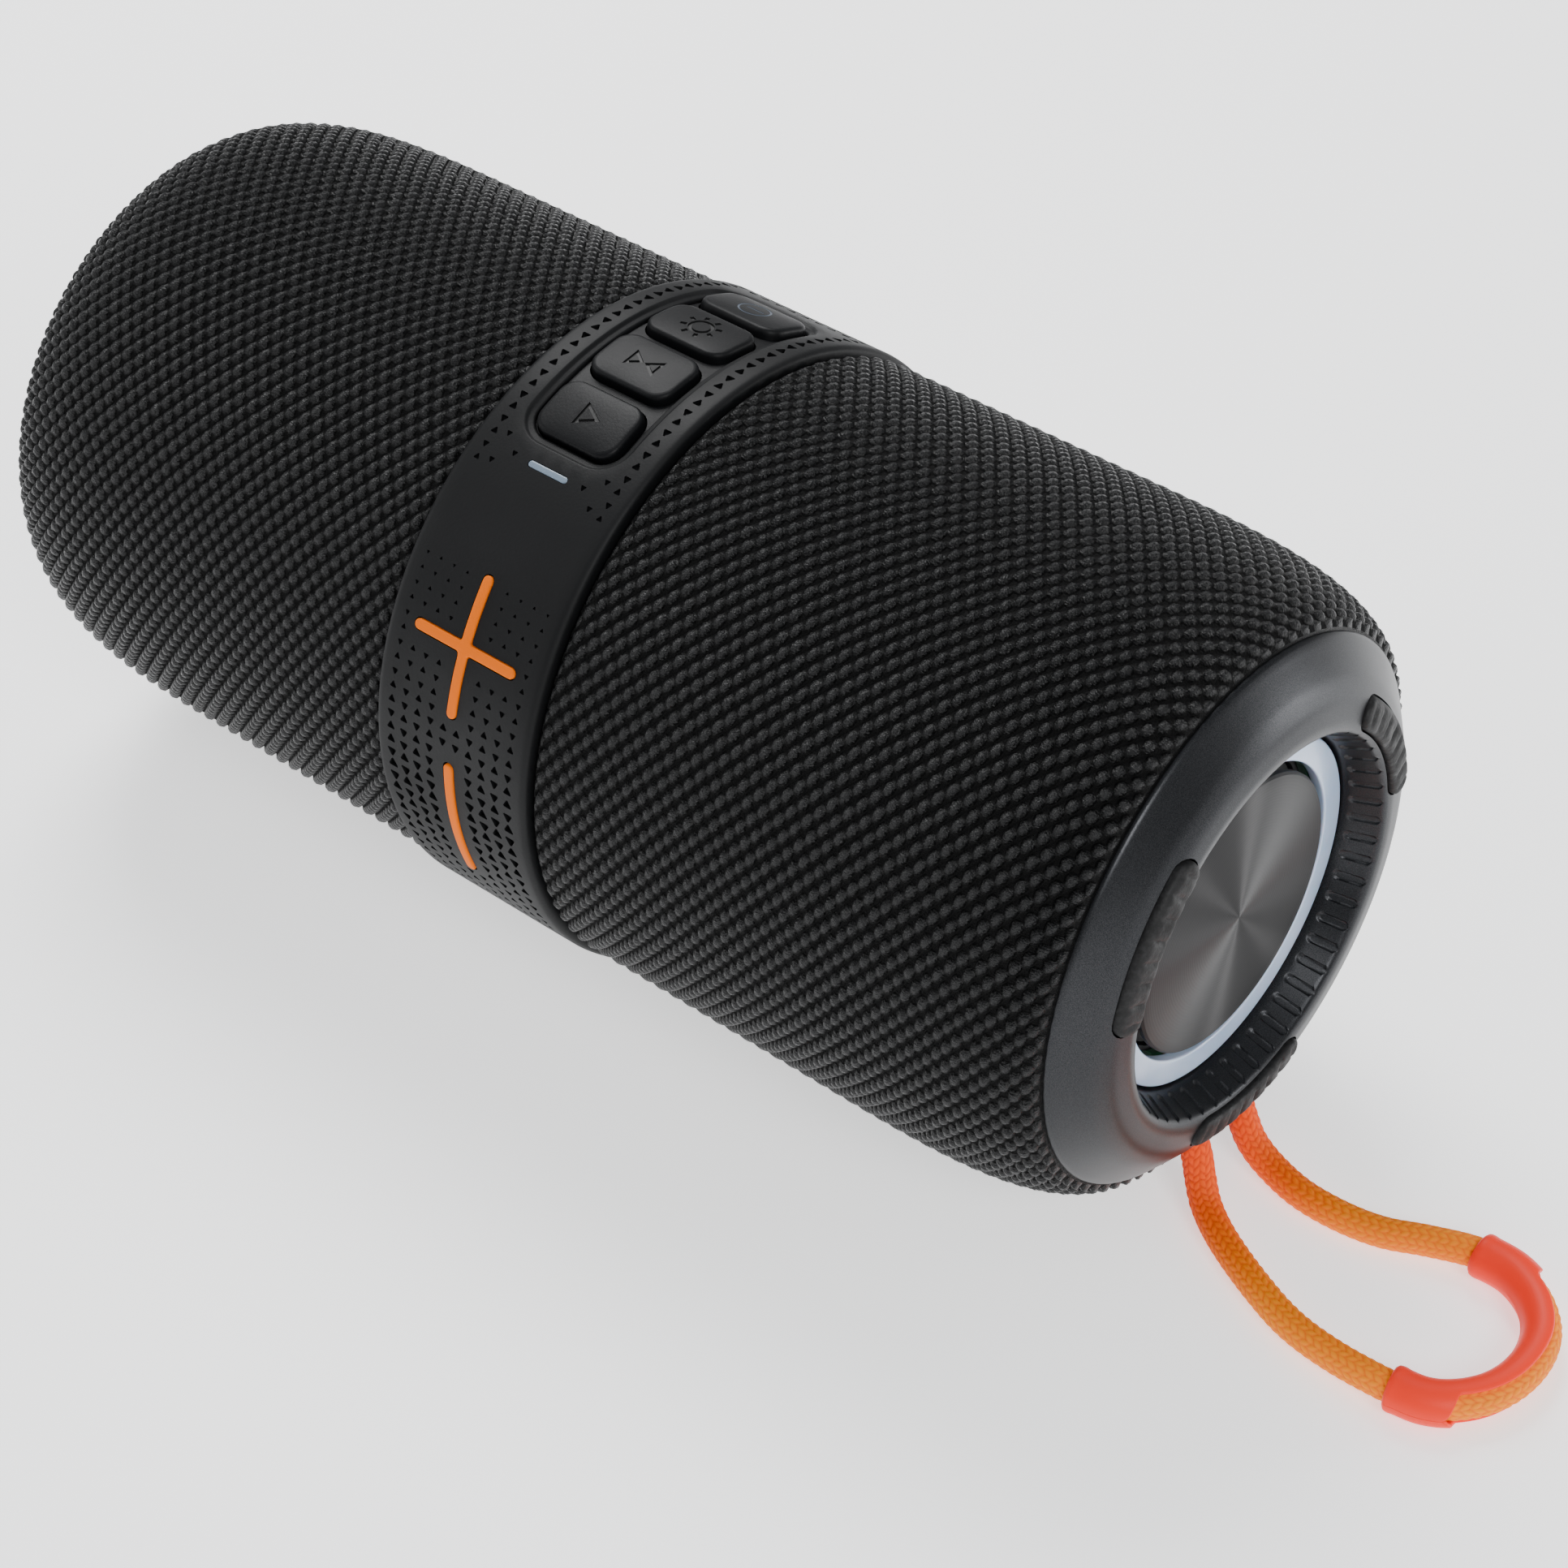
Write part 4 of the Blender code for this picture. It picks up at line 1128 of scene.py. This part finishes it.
CAP_PROFILE = (
    (90.95, 38.3), (93.2, 35.5), (94.8, 33.4), (96.0, 31.0), (96.45, 28.2), (96.2, 26.7),
    (91.6, 24.75), (89.3, 24.6), (89.3, 26.2), (92.0, 27.0), (92.2, 31.5), (89.3, 35.6), (89.3, 36.9),
)
DISC_PROFILE = ((92.5, 0.0), (92.49, 0.3), (91.85, 18.5), (91.7, 19.1), (91.4, 19.4), (90.75, 19.4),
                (90.5, 19.1), (90.5, 12.5), (85.0, 12.5), (85.0, 0.0))
RING_PROFILE = ((91.2, 20.6), (91.2, 24.3), (89.4, 24.3), (89.4, 20.6))
GROOVES = 52                    # slots round the inner wall of a cap
FOOT_PHIS = (60.0, -60.0, 180.0)
FOOT_INNER, FOOT_OUTER, FOOT_HALF_ANGLE = 27.5, 31.8, 22.5
FOOT_FLOOR_X = 94.4
LEG_Y = 5.0                     # each lanyard hole lies this far from the middle plane
HOLE_X, HOLE_Z = 90.6, 13.5     # where a lanyard hole begins inside the cap
HOLE_LEAN_X, HOLE_LEAN_Z = 0.45, 0.893
HOLE_GAP = 0.3


def groove_shift(x, r, angle):
    """Presses a ring of slots into the steep inner wall of the cap."""
    if not (91.7 <= x <= 96.3 and 24.6 <= r <= 26.75):
        return x, r
    along = x - 93.95
    pitch = 2.0 * pi / GROOVES
    across = ((angle / pitch + 0.5) % 1.0 - 0.5) * pitch * r
    reach = max(0.0, abs(along) - 1.35)
    outside = hypot(across, reach) - 0.56
    t = min(1.0, max(0.0, 0.5 - outside / 0.16))
    depth = 0.34 * t * t * (3.0 - 2.0 * t)
    return x + 0.39 * depth, r + 0.92 * depth


def foot_outline(phi, inset=0.0, along=26, end=10):
    """A bent slot with round ends as (across, up) points, phi measured as round the barrel."""
    inner = FOOT_INNER + inset
    outer = FOOT_OUTER - inset
    middle = (inner + outer) / 2.0
    half = (outer - inner) / 2.0
    swing = radians(FOOT_HALF_ANGLE) - (FOOT_OUTER - FOOT_INNER) / 2.0 / middle
    low, high = radians(phi) - swing, radians(phi) + swing
    angles = [low + (high - low) * i / along for i in range(along + 1)]
    points = [(outer * sin(a), outer * cos(a)) for a in angles]
    for way, at in ((1, high), (-1, low)):
        centre = (middle * sin(at), middle * cos(at))
        arc = []
        for k in range(1, end):
            turn = pi * k / end if way > 0 else pi - pi * k / end
            out = half * cos(turn)
            ahead = half * sin(turn) * way
            arc.append((centre[0] + out * sin(at) + ahead * cos(at),
                        centre[1] + out * cos(at) - ahead * sin(at)))
        points += arc
        if way > 0:
            points += [(inner * sin(a), inner * cos(a)) for a in reversed(angles)]
    return points


def cap_height(r):
    """The cap's outside at a radius, as a distance along the barrel."""
    return between(r, ((26.7, 96.2), (28.2, 96.45), (31.0, 96.0), (33.4, 94.8), (35.5, 93.2)))


def end_place(side):
    return lambda y, z, x: (side * x * MM, -y * MM, (AXIS_HEIGHT + z) * MM)


def prism(name, outline, side, low, high):
    shape = Shape()
    place = end_place(side)
    rows = shape.rows([[place(y, z, x) for y, z in outline] for x in (low, high)])
    for row in rows:
        shape.face(row)
    return add_object(name, shape.mesh(name, weld=0.0))


def bar(name, start, end, radius, steps=40):
    """A round bar between two points, as a cutter."""
    a, b = Vector(start), Vector(end)
    ahead = (b - a).normalized()
    out = ahead.orthogonal().normalized()
    up = ahead.cross(out)
    shape = Shape()
    rows = shape.rows([[around_route(p, out, up, 2.0 * pi * k / steps, radius) for k in range(steps)]
                       for p in (a, b)])
    for row in rows:
        shape.face(row)
    return add_object(name, shape.mesh(name, weld=0.0))


def end_cap(word, side):
    """A cap with slots in its inner wall and foot recesses; the right one has the lanyard's holes."""
    outline = rounded_corners(CAP_PROFILE, 0.9, 4)
    line = []
    for a, b in zip(outline, outline[1:] + outline[:1]):
        on_wall = 24.6 <= min(a[1], b[1]) and max(a[1], b[1]) <= 26.8 and min(a[0], b[0]) > 91.4
        line += divided([a, b], 0.22 if on_wall else 1.2, closed=False)[:-1]
    shape = turned(line, side, GROOVES * 18, shift=groove_shift)
    name = "cap_ring_" + word
    cap = add_object(name, shape.mesh(name), [LOOKS["cap_metal"]])
    cutters = [prism("recess", foot_outline(phi, -0.28), side, FOOT_FLOOR_X, 100.0) for phi in FOOT_PHIS]
    if side > 0:
        for y in (LEG_Y, -LEG_Y):
            start = (HOLE_X - HOLE_LEAN_X, y, HOLE_Z + HOLE_LEAN_Z)
            end = (HOLE_X + 8.0 * HOLE_LEAN_X, y, HOLE_Z - 8.0 * HOLE_LEAN_Z)
            cutters.append(bar("lanyard_hole", start, end, CORD_RADIUS + HOLE_GAP))
    cut_with(cap, *cutters)
    stand_for(cap, "end_cap_" + word)


def end_foot(node, phi, side):
    """A domed rubber foot with cross notches that stands a little proud of the cap."""
    place = end_place(side)
    middle = (FOOT_INNER + FOOT_OUTER) / 2.0
    half = (FOOT_OUTER - FOOT_INNER) / 2.0
    swing = radians(FOOT_HALF_ANGLE) - half / middle
    pitch = radians(5.5)

    def height(y, z):
        r = hypot(y, z)
        turn = (atan2(y, z) - radians(phi) + pi) % (2.0 * pi) - pi
        over = max(0.0, abs(turn) - swing) * middle
        inset = half - hypot(over, r - middle)
        edge = min(1.0, max(0.0, inset) / 1.5)
        crown = 0.25 + 0.62 * sqrt(max(0.0, 1.0 - (1.0 - edge) ** 2))
        notch = ((turn / pitch) % 1.0 - 0.5) * pitch * r
        return cap_height(r) + crown - 0.4 * exp(-(notch / 0.34) ** 2) * edge

    shape = Shape()
    rows = [[place(y, z, FOOT_FLOOR_X + 0.08) for y, z in foot_outline(phi, 0.0)]]
    for inset in (0.0, 0.12, 0.3, 0.55):
        drop = 0.0 if inset else 0.12
        rows.append([place(y, z, height(y, z) - drop) for y, z in foot_outline(phi, inset)])
    made = shape.rows(rows)
    shape.face(made[0])
    fill(shape, lambda y, z, x: place(y, z, height(y, z)), foot_outline(phi, 0.55), 0.42, 0.0)
    add_piece(node + "_pad", shape, node, sharp=60.0)


def ends():
    for word, side in (("right", 1), ("left", -1)):
        end_cap(word, side)
        for number, phi in enumerate(FOOT_PHIS, start=1):
            end_foot("end_foot_%s_%d" % (word, number), phi, side)
        disc = turned(divided(DISC_PROFILE, 1.0, closed=False), side, 192, closed=False)
        add_piece("spun_disc_" + word, disc, "radiator_disc_" + word, sharp=25.0)
        ring = turned(divided(rounded_corners(RING_PROFILE, 0.35, 5), 0.8), side, 192)
        add_piece("glow_ring_" + word, ring, "light_ring_" + word)


ends()


# ---------------- carried-over nodes

for node, obj in cad.items():
    if not obj.hide_render:
        for slot in obj.material_slots:
            slot.material = look_of(node)


# ---------------- studio

LAMPS = (
    ("key", (-0.45, 0.35, 0.8), 0.5, 10.0),
    ("front", (0.85, -0.45, 0.75), 0.4, 7.5),
    ("left", (-0.8, -0.5, 0.45), 0.3, 2.0),
    ("low", (0.75, 0.7, 0.12), 0.22, 3.0),
)


def pale_floor():
    floor_look = Look("floor", (0.9, 0.9, 0.905), 0.6, Emission_Color=(1.0, 1.0, 1.0, 1.0),
                      Emission_Strength=1.0)
    ground = bpy.data.meshes.new("floor")
    corners = [(-4.0, -4.0, 0.0), (4.0, -4.0, 0.0), (4.0, 4.0, 0.0), (-4.0, 4.0, 0.0)]
    ground.from_pydata(corners, [], [(0, 1, 2, 3)])
    add_object("floor", ground, [floor_look.material])


def soft_sky():
    """Pale light all round, stronger from above."""
    world = bpy.data.worlds.new("studio")
    world.use_nodes = True
    nodes, links = world.node_tree.nodes, world.node_tree.links
    background = nodes["Background"]
    background.inputs[0].default_value = (0.93, 0.96, 1.0, 1.0)
    parts = nodes.new("ShaderNodeSeparateXYZ")
    links.new(nodes.new("ShaderNodeTexCoord").outputs["Generated"], parts.inputs[0])
    rise = nodes.new("ShaderNodeMapRange")
    for socket, value in ((1, -0.1), (2, 1.0), (3, 0.13), (4, 0.62)):
        rise.inputs[socket].default_value = value
    links.new(parts.outputs[2], rise.inputs[0])
    links.new(rise.outputs[0], background.inputs[1])
    bpy.context.scene.world = world


def studio():
    pale_floor()
    soft_sky()
    for name, place, size, power in LAMPS:
        lamp = bpy.data.lights.new(name, "AREA")
        lamp.size = size
        lamp.energy = power
        obj = bpy.data.objects.new(name, lamp)
        bpy.context.scene.collection.objects.link(obj)
        obj.location = place
        towards = Vector((0.0, 0.0, 0.05)) - Vector(place)
        obj.rotation_euler = towards.to_track_quat("-Z", "Y").to_euler()


studio()
